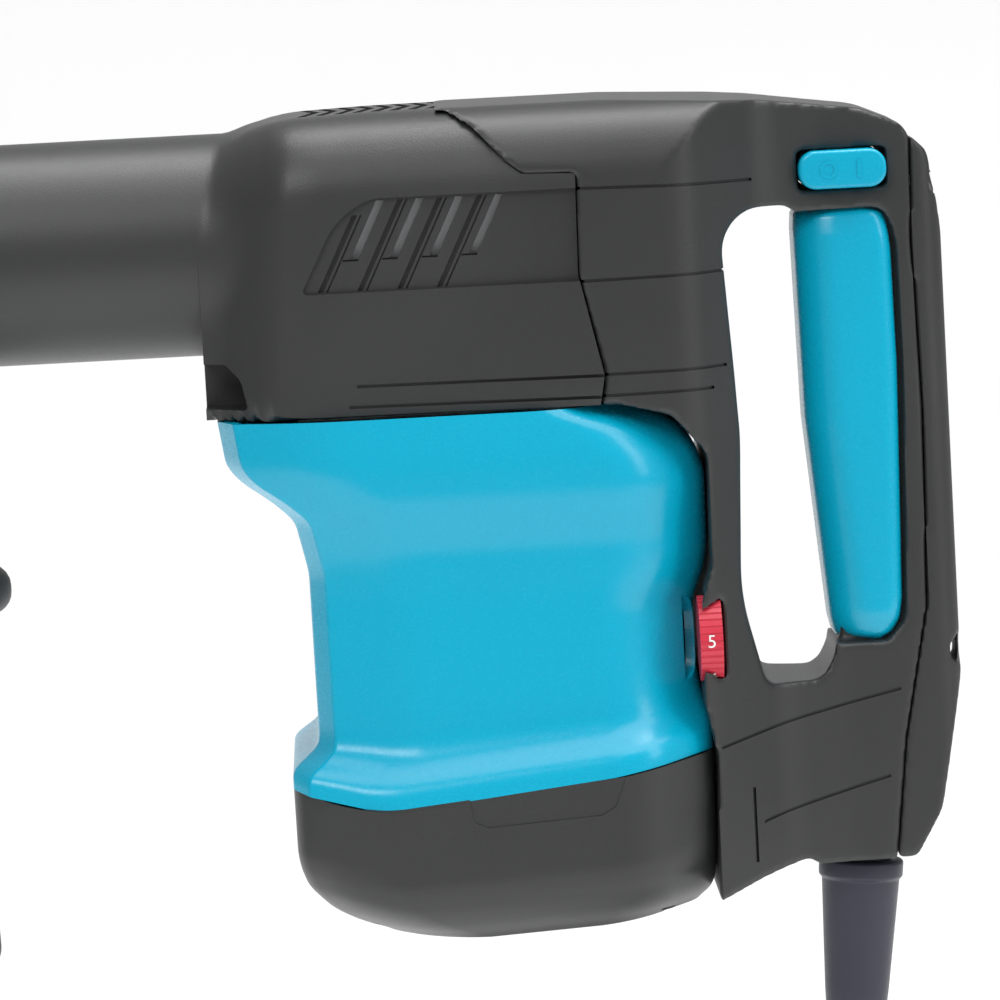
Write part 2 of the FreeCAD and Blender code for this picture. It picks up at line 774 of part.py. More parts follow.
def motor_plan(half):
    return both_sides([(239, 24, 14), (268, half, 22), (352, half, 26), (378, 34, 10)])


def motor_ends(inset):
    top = mm("motor_top")
    half = mm("motor_half") - inset
    flare = mm("base_half") - 1 - inset
    return across([(flare, -170, 0), (flare, -153, 4), (half - 1.5, -140, 12), (half - 1.5, -98, 30),
                   (half, -74, 30), (half - 2, top + 1, 0)])


def make_motor_housing():
    wall = mm("shell")
    flare = mm("base_half") - 1
    outside = side_slab(motor_side(0), 70).common(plan_slab(motor_plan(flare), -180, -40))
    outside = outside.common(end_slab(motor_ends(0), 200, 400))
    inside = side_slab(motor_side(wall), 70).common(plan_slab(
        both_sides([(244, 20, 12), (270, flare - wall, 20), (350, flare - wall, 24), (374, 30, 8)]), -180, -40))
    inside = inside.common(end_slab(motor_ends(wall), 200, 400))
    dial_notch = bar(mm("dial_rad") + 0.6, 370.6, 380, dial_out(), dial_high())
    shell = outside.cut(inside).cut(dial_notch)
    bosses = screw_posts(BRACKET_TOP + 0.2, -142).common(outside)
    shell = drilled(shell.fuse(bosses), bottom_spots(), 40, -Z_AXIS)
    feature("motor_housing", largest(shell.removeSplitter()))


def bottom_spots():
    """Heads of the four screws that come up through the bottom cover."""
    return [FreeCAD.Vector(x, y, -192) for x in (273, 361) for y in (-38, 38)]


def screw_posts(low, high):
    """Screw posts for the bottom cover, each tied to the walls by two ribs."""
    shapes = []
    for spot in bottom_spots():
        to_end = -20 if spot.x < mm("motor_axis") else 20
        to_side = -20 if spot.y < 0 else 20
        shapes.append(post(5.5, spot.x, spot.y, low, high))
        shapes.append(box_shape(min(spot.x, spot.x + to_end), max(spot.x, spot.x + to_end),
                                spot.y - 1.5, spot.y + 1.5, low, high))
        shapes.append(box_shape(spot.x - 1.5, spot.x + 1.5, min(spot.y, spot.y + to_side),
                                max(spot.y, spot.y + to_side), low, high))
    return shapes[0].fuse(shapes[1:])


def make_bottom_cover():
    wall = mm("shell")
    low = mm("base_low")
    seam = mm("base_seam") - GAP / 2
    half = mm("base_half")
    side = [(255.2, seam, 0.5), (281, seam - 3, 20), (374.2, seam + 8, 0.5), (373, -190.6, 5),
            (320, low, 150), (283, low + 1, 30), (258.5, -186, 14)]
    plan = both_sides([(255, 30, 20), (268, half, 24), (352, half, 26), (376, 42, 14)])
    ends = across([(half, -140, 0), (half, -176, 14), (half - 12, low, 16)])
    outside = side_slab(side, 70).common(plan_slab(plan, -210, -140)).common(end_slab(ends, 200, 400))
    inner_side = [(258.2, -140, 0), (371, -140, 0), (370, -187.6, 3), (320, low + wall, 150),
                  (284, low + wall + 1, 25), (261.5, -184, 10)]
    inner_plan = both_sides([(258.2, 28, 18), (270, half - wall, 20), (350, half - wall, 22), (371, 40, 10)])
    inner_ends = across([(half - wall, -140, 0), (half - wall, -175, 12), (half - 14, low + wall, 12)])
    inside = side_slab(inner_side, 70).common(plan_slab(inner_plan, -210, -140))
    inside = inside.common(end_slab(inner_ends, 200, 400))
    posts = screw_posts(low + 1, BRACKET_LOW - 0.1).common(outside)
    cover = drilled(outside.cut(inside).fuse(posts), bottom_spots(), 40, -Z_AXIS)
    feature("bottom_cover", largest(cover.removeSplitter()))
    feature("bottom_screws", Part.makeCompound(screws(bottom_spots(), 40, -Z_AXIS)))


SEAM = [(302, 36.6), (308, 35.4), (314.5, 31.2), (323.5, 21.2), (328, 17.8), (343, 17.2), (342.5, -11.4), (348.4, -39.6),
        (346.8, -48.2)]


def make_front_housing():
    """Barrel tube and crank housing in one moulding."""
    tube = mm("tube_rad")
    top = mm("body_top")
    low = mm("motor_top") + GAP / 2
    half = mm("body_half")
    back = [(x - GAP / 2, z, 0) for x, z in SEAM]
    back[-1] = (346.7, low, 0)
    side = [(236, low, 2), (236, -20, 4), (244, 20, 6), (249, 31.4, 10), (266, top - 0.8, 20)] + back
    plan = both_sides([(236, 27, 8), (245, 31.5, 10), (259, half, 12), (360, half, 0)])
    ends = across([(half + 4, low - 1, 0), (half + 4, -40, 8), (half, -14, 40), (half, top, 24)])
    body = side_slab(side, 70).common(plan_slab(plan, -60, 50)).common(end_slab(ends, 200, 400))
    barrel = bar(tube, 108, 248)
    nose = Part.makeCone(tube - 3.5, tube, 20, FreeCAD.Vector(88, 0, 0), X_AXIS)
    outside = body.fuse([barrel, nose])
    for hollow in (
            bar(mm("barrel_rad") + GAP, 80, 262),
            bar(29 + GAP, 253.7, 262),
            case_space(),
            exhaust_slot()):
        outside = outside.cut(hollow)
    feature("front_housing", largest(outside.removeSplitter()))


def case_space():
    """The room that both housings leave for the crank case."""
    half = mm("body_half") - mm("shell")
    high = mm("body_top") - mm("shell") - 0.4
    return end_slab(across([(half, -62, 0), (half, high, 20)]), CASE_FRONT - 0.4, CASE_BACK + 1)


def exhaust_slot():
    """Air outlet that cuts the front corners below the barrel."""
    return box_shape(230, 245, -60, 60, -45.2, -32)


def handle_half_plan():
    return [(300, mm("body_half") - 0.4, 0), (352, 47.5, 12), (372, 47.5, 18), (396, 24, 24),
            (414, mm("grip_half") + 1, 30), (mm("back_end") - 2, mm("grip_half") - 1, 8)]


PARTING = [(438.8, 21.4), (437.9, -8), (439, -56), (437.6, -112), (430, -150), (425.6, -186.5)]


def handle_side():
    """Side outline of the D handle's main moulding."""
    front = [(x + GAP / 2, z, 0) for x, z in reversed(SEAM)]
    back = [(x - GAP / 2, z, 0) for x, z in PARTING]
    low = -184.6
    return front + [(352, 36.6, 60), (395, 34.2, 60), (425, 30, 20), (436.4, 25, 6)] + back[:-1] + [
        (425.9 - GAP / 2, low, 0), (403.5, low, 2), (400.5, low + 2.2, 3), (386, low - 1.6, 8),
        (373.4, -190.4, 0), (374.8, -149.2, 0),
        (371.8, -133, 6), (371.8, -107, 6), (375.8, -95, 8), (376.2, -63.8, 8), (366.4, -51.9, 5), (352, -48.1, 8)]


def loop_outline():
    """Finger opening of the D handle."""
    return [(382.6, 3.8, 12), (405.6, 3.8, 5), (406.3, -58, 120), (411.1, -124, 9), (407, -131.6, 6),
            (390.5, -131.6, 4), (384, -105, 60), (386, -60, 60), (385.2, -42, 30)]


def grip_outline(inset):
    return [(407 + inset, 1.5 - inset, 2), (430 - inset, 1.5 - inset, 5), (433.2 - inset, -6, 20),
            (433.8 - inset, -42, 80), (432.2 - inset, -94, 60), (431.2 - inset, -116, 5),
            (426 - inset, -121.7 + inset, 2), (411.6 + inset, -121.7 + inset, 2), (406.8 + inset, -56, 100)]


def core_outline(inset):
    """The handle's own core, which the grip insert wraps from the front."""
    return [(411 + inset, -2.5 - inset, 2), (437, -2.5 - inset, 0), (437, -117.5 + inset, 0),
            (415.4 + inset, -117.5 + inset, 2), (410.8 + inset, -56, 100)]


def make_handle():
    plan = both_sides(handle_half_plan())
    whole = side_slab(handle_side(), 70).common(plan_slab(plan, -260, 60))
    top_round = end_slab(across([(60, -260, 0), (60, -170, 0), (47.8, -30, 0), (47.2, 36.8, 22)]), 290, 460)
    whole = whole.common(top_round)
    whole = whole.cut(side_slab(loop_outline(), 80))
    core = side_slab(core_outline(0), 13.8)
    grip_space = side_slab(grip_outline(-0.15), 40).cut(core)
    whole = whole.cut(grip_space)
    lever_space = box_shape(mm("lever_mid") - 12.8, mm("lever_mid") + 12.8, -60, 60,
                            mm("lever_high") - 5.8, mm("lever_high") + 5.8)
    for hollow in (
            lever_space,
            case_space(),
            box_shape(352, 404, -16, 16, 7, 30.2),
            box_shape(403, 408, -9, 9, 8.4, 18),
            box_shape(377.5, 382, -28, 28, -132, 8),
            box_shape(377.5, 401, -19, 19, -182, -133.6),
            box_shape(400, 430, -14, 14, -181, -134.6),
            box_shape(415, 445, -9, 9, -136, 20),
            bar(mm("dial_rad") + 0.5, 370.8, 378.2, dial_out(), dial_high()),
            Part.makeCylinder(9.0, 40, guard_top(), guard_way())):
        whole = whole.cut(hollow)
    feature("handle", largest(drilled(whole, handle_spots(), 11, X_AXIS)))


def largest(shape):
    """The main solid of a cut, without loose slivers."""
    return max(shape.Solids, key=lambda solid: solid.Volume)


def handle_spots():
    """Heads of the screws that hold the handle's rear cover."""
    return [FreeCAD.Vector(x, y, z) for x, z in ((443.6, 8), (443, -126)) for y in (-12, 12)]


def make_handle_cover():
    low = -184.4
    front = [(x + GAP / 2, z, 0) for x, z in PARTING]
    front[-1] = (425.9 + GAP / 2, low, 0)
    back = mm("back_end")
    side = front + [(431.5, low, 3), (439.5, -171, 16), (447.2, -131, 60), (back, -84, 100), (back, -27, 60),
                    (445.6, 6, 20), (443.4, 17, 3)]
    whole = side_slab(side, 60).common(plan_slab(both_sides(handle_half_plan()), -260, 60))
    channel = box_shape(400, back - mm("shell"), -12, 12, -130, 4)
    whole = whole.cut(channel).cut(box_shape(400, 430, -14, 14, -181, -130))
    feature("handle_cover", largest(drilled(whole, handle_spots(), 11, X_AXIS)))
    feature("handle_screws", Part.makeCompound(screws(handle_spots(), 11, X_AXIS)))


def make_grip_insert():
    plan = plan_slab(both_sides(handle_half_plan()), -260, 60)
    shell = side_slab(grip_outline(0.15), 40).common(plan)
    feature("grip_insert", shell.cut(side_slab(core_outline(-0.2), 14)))


# ---------------------------------------------------------------- controls

def make_lever():
    """Push through switch lever: a bar across the handle with an arm to the switch."""
    mid = mm("lever_mid")
    high = mm("lever_high")
    half = mm("grip_half")
    lever = box_shape(mid - 12.4, mid + 12.4, -half - mm("lever_out") - 1.2, half + 0.6, high - 5.4, high + 5.4)
    lever = lever.makeFillet(4, [edge for edge in lever.Edges if is_across(edge)])
    arm = box_shape(403.3, mm("lever_mid") - 12, -3, 3, high - 4, high + 4)
    feature("on_off_lever", lever.fuse(arm).removeSplitter())


def is_across(edge):
    start, end = edge.Vertexes[0].Point, edge.Vertexes[-1].Point
    return (end - start).getAngle(Y_AXIS) in (0, math.pi)


def make_switch_body():
    keep(block("switch_body", 30, 22, 20, 373, -11, 8.5), "switch_body")


def dial_out():
    return -36.0


def dial_high():
    return -116.2


def make_speed_dial():
    """Thumbwheel with a fluted rim, turning about an axis along the tool."""
    wide = mm("dial_wide")
    wheel = Part.makeCylinder(mm("dial_rad"), wide, FreeCAD.Vector(0, 0, 0), X_AXIS)
    for index in range(36):
        flute = bar(0.45, -1, wide + 1, mm("dial_rad") + 0.1)
        flute.rotate(FreeCAD.Vector(0, 0, 0), X_AXIS, index * 10)
        wheel = wheel.cut(flute)
    put(feature("speed_dial", wheel), 371.3, dial_out(), dial_high())


def make_controller():
    keep(block("controller", 20, 34, 40, 379, -17, -178), "controller")


# ---------------------------------------------------------------- side grip

def make_side_grip():
    middle = mm("grip_mid")
    tube = mm("tube_rad")
    band = bar(tube + 3, middle - 11, middle + 11).cut(bar(tube + 0.1, middle - 12, middle + 12))
    band = band.cut(box_shape(middle - 12, middle + 12, -9, 9, -tube - 10, -tube + 10))
    ears = [box_shape(middle - 11, middle + 11, y, y + 3, -tube - 14, -tube + 3).cut(
        bar(tube + 0.1, middle - 12, middle + 12)) for y in (-12, 9)]
    feature("side_grip_band", band.fuse(ears).removeSplitter())
    base_low = -88.0
    saddle = plan_slab(across([(15, -11, 4), (15, 11, 4)]), base_low, -tube - 15)
    saddle.translate(FreeCAD.Vector(middle, 0, 0))
    block_top = box_shape(middle - 10, middle + 10, -8.6, 8.6, -tube - 16, -tube - 3.5)
    base = saddle.fuse(block_top).cut(post(5 + RUN, middle, 0, base_low - 1, -tube))
    feature("side_grip_base", base.removeSplitter())
    bolt = post(5, middle, 0, base_low - 40, -tube - 4.5)
    feature("side_grip_bolt", bolt)
    make_side_grip_handle(base_low - 0.3)


def make_side_grip_handle(top):
    """Moulded bar grip: thick rounded flange, waisted bar and a flared end."""
    rim = 6.2
    flange = mm("grip_flange")
    long = mm("grip_long")
    outline = [(0, 0, 0), (0, flange, rim - 0.1), (2 * rim, flange, rim - 0.1), (2 * rim + 3, 16.5, 4),
               (long - 30, 18.5, 60), (long - 6, 20.5, 8), (long, 17, 5), (long, 0, 0)]
    wire = rounded_wire(outline, lambda p: FreeCAD.Vector(p.y, 0, -p.x))
    grip = Part.Face(wire).revolve(FreeCAD.Vector(0, 0, 0), Z_AXIS, 360)
    grip = grip.cut(Part.makeCylinder(5 + RUN, 41, FreeCAD.Vector(0, 0, -40.5), Z_AXIS))
    put(feature("side_grip_handle", grip), mm("grip_mid"), 0, top)


# ---------------------------------------------------------------- cord

GUARD_TILT = 4.6
ENTRY_ANGLE = 52.0
TAIL_LONG = 62.0
TIE_ANGLE = 150.0


def guard_top():
    return FreeCAD.Vector(mm("lever_mid") - 3.3, 0, -175.4)


def guard_way():
    tilt = math.radians(GUARD_TILT)
    return FreeCAD.Vector(-math.sin(tilt), 0, -math.cos(tilt))


def guard_end():
    return guard_top() + guard_way() * (mm("guard_long") + 10)


def make_cord_guard():
    """Rubber sleeve: a head inside the handle, a neck in its wall and a long taper."""
    cord = dim("cord_rad") + 0.1
    long = dim("guard_long") + 10
    guard = turned("cord_guard", [
        (0, cord), (0, 11.5), (2.8, 11.5), (2.8, 8.8), (10.8, 8.8), (10.8, 12.3), (16, 12.2), (17, 11.2),
        (49, 9.2), (long, 7.3), (long, cord)])
    down = FreeCAD.Rotation(Y_AXIS, 90 + GUARD_TILT)
    put(guard, guard_top().x, 0, guard_top().z, down)
    keep(guard, "cord_guard")


def cord_route():
    """Corner points of the free stretch, from inside the guard's end down to the ring."""
    end = guard_end()
    steps = [(0.96, 11.96), (-0.8, -10), (0.6, -38), (9, -60), (24.5, -79), (44.2, -94.4)]
    return [end + FreeCAD.Vector(x, 0, z) for x, z in steps]


def coil_middle():
    """Middle of the put away ring of cord, which the free stretch meets on its tangent."""
    entry = math.radians(ENTRY_ANGLE)
    outward = FreeCAD.Vector(math.cos(entry), 0, math.sin(entry))
    return cord_route()[-1] - outward * mm("ring_rad")


def tail_route():
    """From the ring straight down to the plug."""
    start = coil_middle() + FreeCAD.Vector(mm("ring_rad"), 0, 0)
    return [start, start + FreeCAD.Vector(0, 0, -TAIL_LONG)]


def cord_tube(name, route):
    """Straight runs joined by tangent arcs, each as large as its two runs allow."""
    edges = []
    here = route[0]
    for last, corner, following in zip(route, route[1:], route[2:]):
        back = last - corner
        onward = following - corner
        turn = math.pi - back.getAngle(onward)
        shorter = min(back.Length, onward.Length)
        reach = 0.45 * shorter
        radius = reach / math.tan(turn / 2)
        back.normalize()
        onward.normalize()
        centre = corner + (back + onward).normalize() * (radius / math.cos(turn / 2))
        top = centre + (corner - centre).normalize() * radius
        start = corner + back * reach
        end = corner + onward * reach
        edges.append(Part.LineSegment(here, start).toShape())
        edges.append(Part.Arc(start, top, end).toShape())
        print("%s: turn %.1f degrees, radius %.1f mm" % (name, math.degrees(turn), radius))
        here = end
    edges.append(Part.LineSegment(here, route[-1]).toShape())
    path = Part.Wire(edges)
    long = path.Length
    radius = mm("cord_rad")
    way = (route[1] - route[0]).normalize()
    section = Part.Wire(Part.Circle(route[0], way, radius).toShape())
    tube = path.makePipeShell([section], True, True)
    expected = math.pi * radius ** 2 * long
    if abs(tube.Volume - expected) > 0.01 * expected:
        raise ValueError("%s has volume %.0f, not %.0f" % (name, tube.Volume, expected))
    print("%s: %.1f mm long" % (name, long))
    return tube


def make_cord():
    """The free stretch, the put away ring with its tie, and the tail to the plug."""
    free = [cord_tube("from the guard", cord_route()), cord_tube("to the plug", tail_route())]
    feature("power_cord", Part.makeCompound(free))
    middle = coil_middle()
    feature("cord_coil", Part.makeTorus(mm("ring_rad"), mm("bundle_rad"), middle, Y_AXIS))
    tie_angle = math.radians(TIE_ANGLE)
    outward = FreeCAD.Vector(math.cos(tie_angle), 0, math.sin(tie_angle))
    onward = FreeCAD.Vector(math.sin(tie_angle), 0, -math.cos(tie_angle))
    spot = middle + outward * mm("ring_rad")
    strap = Part.makeCylinder(mm("bundle_rad") + 2.2, 16, spot - onward * 8, onward)
    strap = strap.cut(Part.makeTorus(mm("ring_rad"), mm("bundle_rad") + 0.1, middle, Y_AXIS))
    feature("cord_tie", largest(strap))


def make_plug():
    """Two pin plug at the end of the cord, pins down."""
    top = tail_route()[-1]
    neck = Part.makeCone(6.2, 9.5, 14, top + FreeCAD.Vector(0, 0, -14) + Z_AXIS * 14, -Z_AXIS)
    body = plan_slab(across([(17.5, -12, 9), (17.5, 12, 9)]), top.z - 48, top.z - 12)
    body.translate(FreeCAD.Vector(top.x, 0, 0))
    plug = neck.fuse(body).removeSplitter()
    pins = []
    for side in (-1, 1):
        spot = FreeCAD.Vector(top.x + 9.5 * side, 0, top.z - 48 - 19)
        pin = Part.makeCylinder(2.4, 25, spot, Z_AXIS)
        plug = plug.cut(pin)
        pins.append(pin)
    feature("plug_body", plug)
    feature("plug_pins", Part.makeCompound(pins))


def make_cord_clamp():
    """Bar with two screws that grips the cord above the guard."""
    spot = guard_top()
    clamp = box_shape(spot.x - 4.5, spot.x + 4.5, -13.9, 13.9, -172, -166)
    clamp = clamp.cut(post(mm("cord_rad") + RUN, spot.x, 0, -173, -165))
    heads = [FreeCAD.Vector(spot.x, y, -164) for y in (-9.5, 9.5)]
    clamp = drilled(clamp, heads, 9, Z_AXIS, 2.8, 2, 1.5)
    feature("cord_clamp", Part.makeCompound([clamp] + screws(heads, 9, Z_AXIS, 2.8, 2, 1.5)))


# ---------------------------------------------------------------- checks and files

def make_everything():
    for make in (
            make_tool_holder, make_locking_rollers, make_nose_cap, make_release_sleeve,
            make_roller_ring, make_release_spring, make_change_ring, make_impact_bolt, make_bolt_stops,
            make_cylinder, make_striker, make_piston, make_connecting_rod, make_crankshaft,
            make_crank_gear, make_bearings, make_gear_housing, make_gear_cover, make_crank_lid,
            make_barrel, make_armature, make_armature_core, make_commutator, make_cooling_fan,
            make_stator, make_brushes, make_bearing_bracket,
            make_motor_housing, make_bottom_cover, make_front_housing, make_handle, make_handle_cover,
            make_grip_insert, make_lever, make_switch_body, make_speed_dial, make_controller,
            make_side_grip, make_cord_guard, make_cord_clamp, make_cord, make_plug):
        make()


def check_document():
    doc.recompute()
    for thing in doc.Objects:
        if "Invalid" in thing.State or "Error" in thing.State:
            raise RuntimeError("%s failed" % thing.Label)
    for piece in sub_parts:
        if piece.Shape.isNull() or not piece.Shape.isValid():
            raise RuntimeError("%s has no valid shape" % piece.Label)


def write_parts():
    os.makedirs("parts", exist_ok=True)
    for piece in sub_parts:
        piece.Shape.exportStep(os.path.join("parts", piece.Label + ".step"))
    print("%d sub-parts written" % len(sub_parts))


make_everything()
check_document()
write_parts()
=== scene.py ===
"""Looks of an upright motor demolition hammer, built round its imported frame."""

import json
import math

import bpy
from mathutils import Matrix, Quaternion, Vector


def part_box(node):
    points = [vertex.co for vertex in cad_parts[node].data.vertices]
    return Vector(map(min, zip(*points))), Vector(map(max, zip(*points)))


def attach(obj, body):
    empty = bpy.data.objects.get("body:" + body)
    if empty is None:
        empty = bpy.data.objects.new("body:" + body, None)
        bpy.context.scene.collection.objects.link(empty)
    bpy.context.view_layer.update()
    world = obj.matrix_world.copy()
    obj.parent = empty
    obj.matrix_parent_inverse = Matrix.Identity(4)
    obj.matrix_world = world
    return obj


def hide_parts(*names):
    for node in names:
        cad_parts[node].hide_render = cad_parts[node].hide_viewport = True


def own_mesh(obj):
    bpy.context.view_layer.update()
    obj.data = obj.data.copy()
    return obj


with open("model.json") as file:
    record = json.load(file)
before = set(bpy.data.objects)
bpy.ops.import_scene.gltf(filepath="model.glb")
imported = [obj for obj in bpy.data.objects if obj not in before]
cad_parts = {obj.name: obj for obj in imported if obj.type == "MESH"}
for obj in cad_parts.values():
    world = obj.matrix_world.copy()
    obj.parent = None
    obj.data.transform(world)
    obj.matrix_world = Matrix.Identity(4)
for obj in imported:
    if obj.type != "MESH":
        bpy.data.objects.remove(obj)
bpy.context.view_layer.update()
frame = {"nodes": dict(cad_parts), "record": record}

bl_info = {
    "name": "Demolition Hammer",
    "version": (1, 0, 0),
    "blender": (4, 5, 0),
    "location": "View3D > Sidebar > Hammer",
    "description": "Models the housings, grips, chuck and cord of a demolition hammer",
    "category": "Add Mesh",
}

NODES = frame["nodes"]
MM = 0.001
X_AXIS = Vector((1, 0, 0))
Y_AXIS = Vector((0, 1, 0))
Z_AXIS = Vector((0, 0, 1))


# ---------------------------------------------------------------- sizes and colours

class HammerSizes(bpy.types.PropertyGroup):
    """Sizes that a user would change."""

    tube: bpy.props.FloatProperty(
        name="Barrel tube", description="Outer radius of the barrel tube in millimetres", default=31.5)
    seam_gap: bpy.props.FloatProperty(
        name="Seam", description="Gap between two mouldings in millimetres", default=0.35)
    wall: bpy.props.FloatProperty(
        name="Wall", description="Wall of the plastic housings in millimetres", default=2.6)
    cord: bpy.props.FloatProperty(
        name="Cord", description="Diameter of the power cord in millimetres", default=9.0)
    coil_radius: bpy.props.FloatProperty(
        name="Coil", description="Middle radius of the put away cord in millimetres", default=54.0)
    camera_distance: bpy.props.FloatProperty(
        name="Camera distance", description="Distance from the camera to the tool", default=2.1,
        unit="LENGTH")
    camera_height: bpy.props.FloatProperty(
        name="Camera elevation", description="Angle of the camera above the tool",
        default=math.radians(5.4), subtype="ANGLE")


class HammerColours(bpy.types.PropertyGroup):
    """Colours of the mouldings."""

    teal: bpy.props.FloatVectorProperty(
        name="Teal", description="Motor housing, grip insert and switch lever",
        default=(0.0, 0.40, 0.60), subtype="COLOR", size=3)
    black: bpy.props.FloatVectorProperty(
        name="Black", description="Grained black housings", default=(0.030, 0.031, 0.0305),
        subtype="COLOR", size=3)
    dial: bpy.props.FloatVectorProperty(
        name="Dial", description="Speed dial", default=(0.62, 0.03, 0.06), subtype="COLOR", size=3)


def sizes():
    return bpy.context.scene.hammer_sizes


def colours():
    return bpy.context.scene.hammer_colours


# ---------------------------------------------------------------- mesh helpers

def make_active(thing):
    bpy.ops.object.select_all(action="DESELECT")
    thing.select_set(True)
    bpy.context.view_layer.objects.active = thing


def apply_modifier(thing, kind, **settings):
    make_active(thing)
    modifier = thing.modifiers.new(kind.lower(), kind)
    for name, value in settings.items():
        setattr(modifier, name, value)
    bpy.ops.object.modifier_apply(modifier=modifier.name)


def mesh_piece(name, points, faces):
    """A mesh object from points in millimetres."""
    mesh = bpy.data.meshes.new(name)
    mesh.from_pydata([Vector(point) * MM for point in points], [], faces)
    mesh.update()
    thing = bpy.data.objects.new(name, mesh)
    bpy.context.collection.objects.link(thing)
    return thing


def tidy_mesh(thing):
    """Merge doubles and turn the faces outwards."""
    make_active(thing)
    bpy.ops.object.mode_set(mode="EDIT")
    bpy.ops.mesh.select_all(action="SELECT")
    bpy.ops.mesh.remove_doubles(threshold=0.00001)
    bpy.ops.mesh.normals_make_consistent(inside=False)
    bpy.ops.object.mode_set(mode="OBJECT")


def rounded_outline(corners, steps=6):
    """Points of a closed outline of (u, v, radius) corners joined by tangent arcs."""
    count = len(corners)
    spots = [Vector((u, v)) for u, v, radius in corners]
    outline = []
    for index, (u, v, radius) in enumerate(corners):
        here = spots[index]
        if radius == 0:
            outline.append(here)
            continue
        to_last = (spots[index - 1] - here).normalized()
        to_next = (spots[(index + 1) % count] - here).normalized()
        half = to_last.angle(to_next) / 2
        reach = radius / math.tan(half)
        start = here + to_last * reach
        end = here + to_next * reach
        centre = here + (to_last + to_next).normalized() * (radius / math.sin(half))
        sweep = math.pi - 2 * half
        for step in range(steps + 1):
            share = step / steps
            first = (start - centre) * math.sin((1 - share) * sweep)
            last = (end - centre) * math.sin(share * sweep)
            outline.append(centre + (first + last) / math.sin(sweep))
    return outline


def rectangle(left, right, low, high, radius=0):
    """Corners of an upright rectangle, for an outline."""
    return [(left, low, radius), (right, low, radius), (right, high, radius), (left, high, radius)]


def mirrored(corners):
    """Corners of one side, followed by the same corners on the other side."""
    return corners + [(x, -y, radius) for x, y, radius in reversed(corners)]


def prism(name, corners, axis, low, high, steps=6):
    """A rounded outline given in the plane across an axis, as a block between two places on it."""
    places = {
        "X": lambda p, d: (d, p.x, p.y),
        "Y": lambda p, d: (p.x, d, p.y),
        "Z": lambda p, d: (p.x, p.y, d),
    }
    outline = rounded_outline(corners, steps)
    points = [places[axis](point, low) for point in outline]
    block = mesh_piece(name, points, [list(range(len(points)))])
    make_active(block)
    bpy.ops.object.mode_set(mode="EDIT")
    bpy.ops.mesh.select_all(action="SELECT")
    shift = {"X": X_AXIS, "Y": Y_AXIS, "Z": Z_AXIS}[axis] * ((high - low) * MM)
    bpy.ops.mesh.extrude_region_move(TRANSFORM_OT_translate={"value": shift})
    bpy.ops.mesh.select_all(action="SELECT")
    bpy.ops.mesh.normals_make_consistent(inside=False)
    bpy.ops.object.mode_set(mode="OBJECT")
    return block


def both_sides(name, corners, inner, outer, steps=6):
    """The same side view outline as two blocks, one on each side of the tool."""
    left = prism(name, corners, "Y", -outer, -inner, steps)
    right = prism(name, corners, "Y", inner, outer, steps)
    return join([left, right])


def join(things):
    bpy.ops.object.select_all(action="DESELECT")
    for thing in things:
        thing.select_set(True)
    bpy.context.view_layer.objects.active = things[0]
    bpy.ops.object.join()
    return things[0]


def skin(name, loops, capped=True):
    """A skin over loops of points that all have the same number of points."""
    count = len(loops[0])
    points = [point for loop in loops for point in loop]
    faces = []
    for row in range(len(loops) - 1):
        for column in range(count):
            following = (column + 1) % count
            faces.append((row * count + column, row * count + following,
                          (row + 1) * count + following, (row + 1) * count + column))
    if capped:
        last = (len(loops) - 1) * count
        faces.append(tuple(range(count)))
        faces.append(tuple(last + column for column in range(count)))
    thing = mesh_piece(name, points, faces)
    tidy_mesh(thing)
    return thing


def turned(name, profile, origin, axis, count=96, shape=None, capped=False):
    """A profile of (along, radius) points turned about an axis; shape varies the radius."""
    axis = Vector(axis).normalized()
    side = axis.orthogonal().normalized() if abs(axis.z) > 0.5 else axis.cross(Z_AXIS).normalized()
    other = axis.cross(side)
    loops = []
    for along, radius in profile:
        loop = []
        for index in range(count):
            angle = index * 2 * math.pi / count
            reach = radius + (shape(along, angle) if shape else 0)
            way = side * math.cos(angle) + other * math.sin(angle)
            loop.append(Vector(origin) + axis * along + way * reach)
        loops.append(loop)
    if not capped:
        loops.append(loops[0])
    return skin(name, loops, capped)


def rounded_profile(corners, steps=5):
    """Profile points of (along, radius, rounding) corners."""
    return [(point.x, point.y) for point in rounded_outline(corners, steps)]


def subtract(thing, cutter):
    apply_modifier(thing, "BOOLEAN", object=cutter, operation="DIFFERENCE", solver="EXACT")
    bpy.data.objects.remove(cutter)


def along(table, place, blur=0.0):
    """A value read between the (place, value) pairs of a table, softened over a distance."""
    spots = [place + blur * share for share in (-1, -0.5, 0, 0.5, 1)] if blur else [place]
    total = 0.0
    for spot in spots:
        spot = min(max(spot, table[0][0]), table[-1][0])
        for (start, first), (end, last) in zip(table, table[1:]):
            if spot <= end:
                total += first + (last - first) * (spot - start) / (end - start)
                break
    return total / len(spots)


def smooth_step(value, start, end):
    share = min(max((value - start) / (end - start), 0), 1)
    return share * share * (3 - 2 * share)


def node_copy(node, name):
    """A merged copy of a frame node's mesh in a new object."""
    thing = bpy.data.objects.new(name, NODES[node].data.copy())
    bpy.context.collection.objects.link(thing)
    make_active(thing)
    bpy.ops.object.mode_set(mode="EDIT")
    bpy.ops.mesh.select_all(action="SELECT")
    bpy.ops.mesh.remove_doubles(threshold=0.000002)
    bpy.ops.object.mode_set(mode="OBJECT")
    return thing


def moulded(thing, voxel, passes, share):
    """Give a piece the rounded edges of a moulding."""
    apply_modifier(thing, "REMESH", mode="VOXEL", voxel_size=voxel * MM, adaptivity=0.0)
    apply_modifier(thing, "SMOOTH", factor=0.5, iterations=passes)
    apply_modifier(thing, "DECIMATE", ratio=share)
    return thing


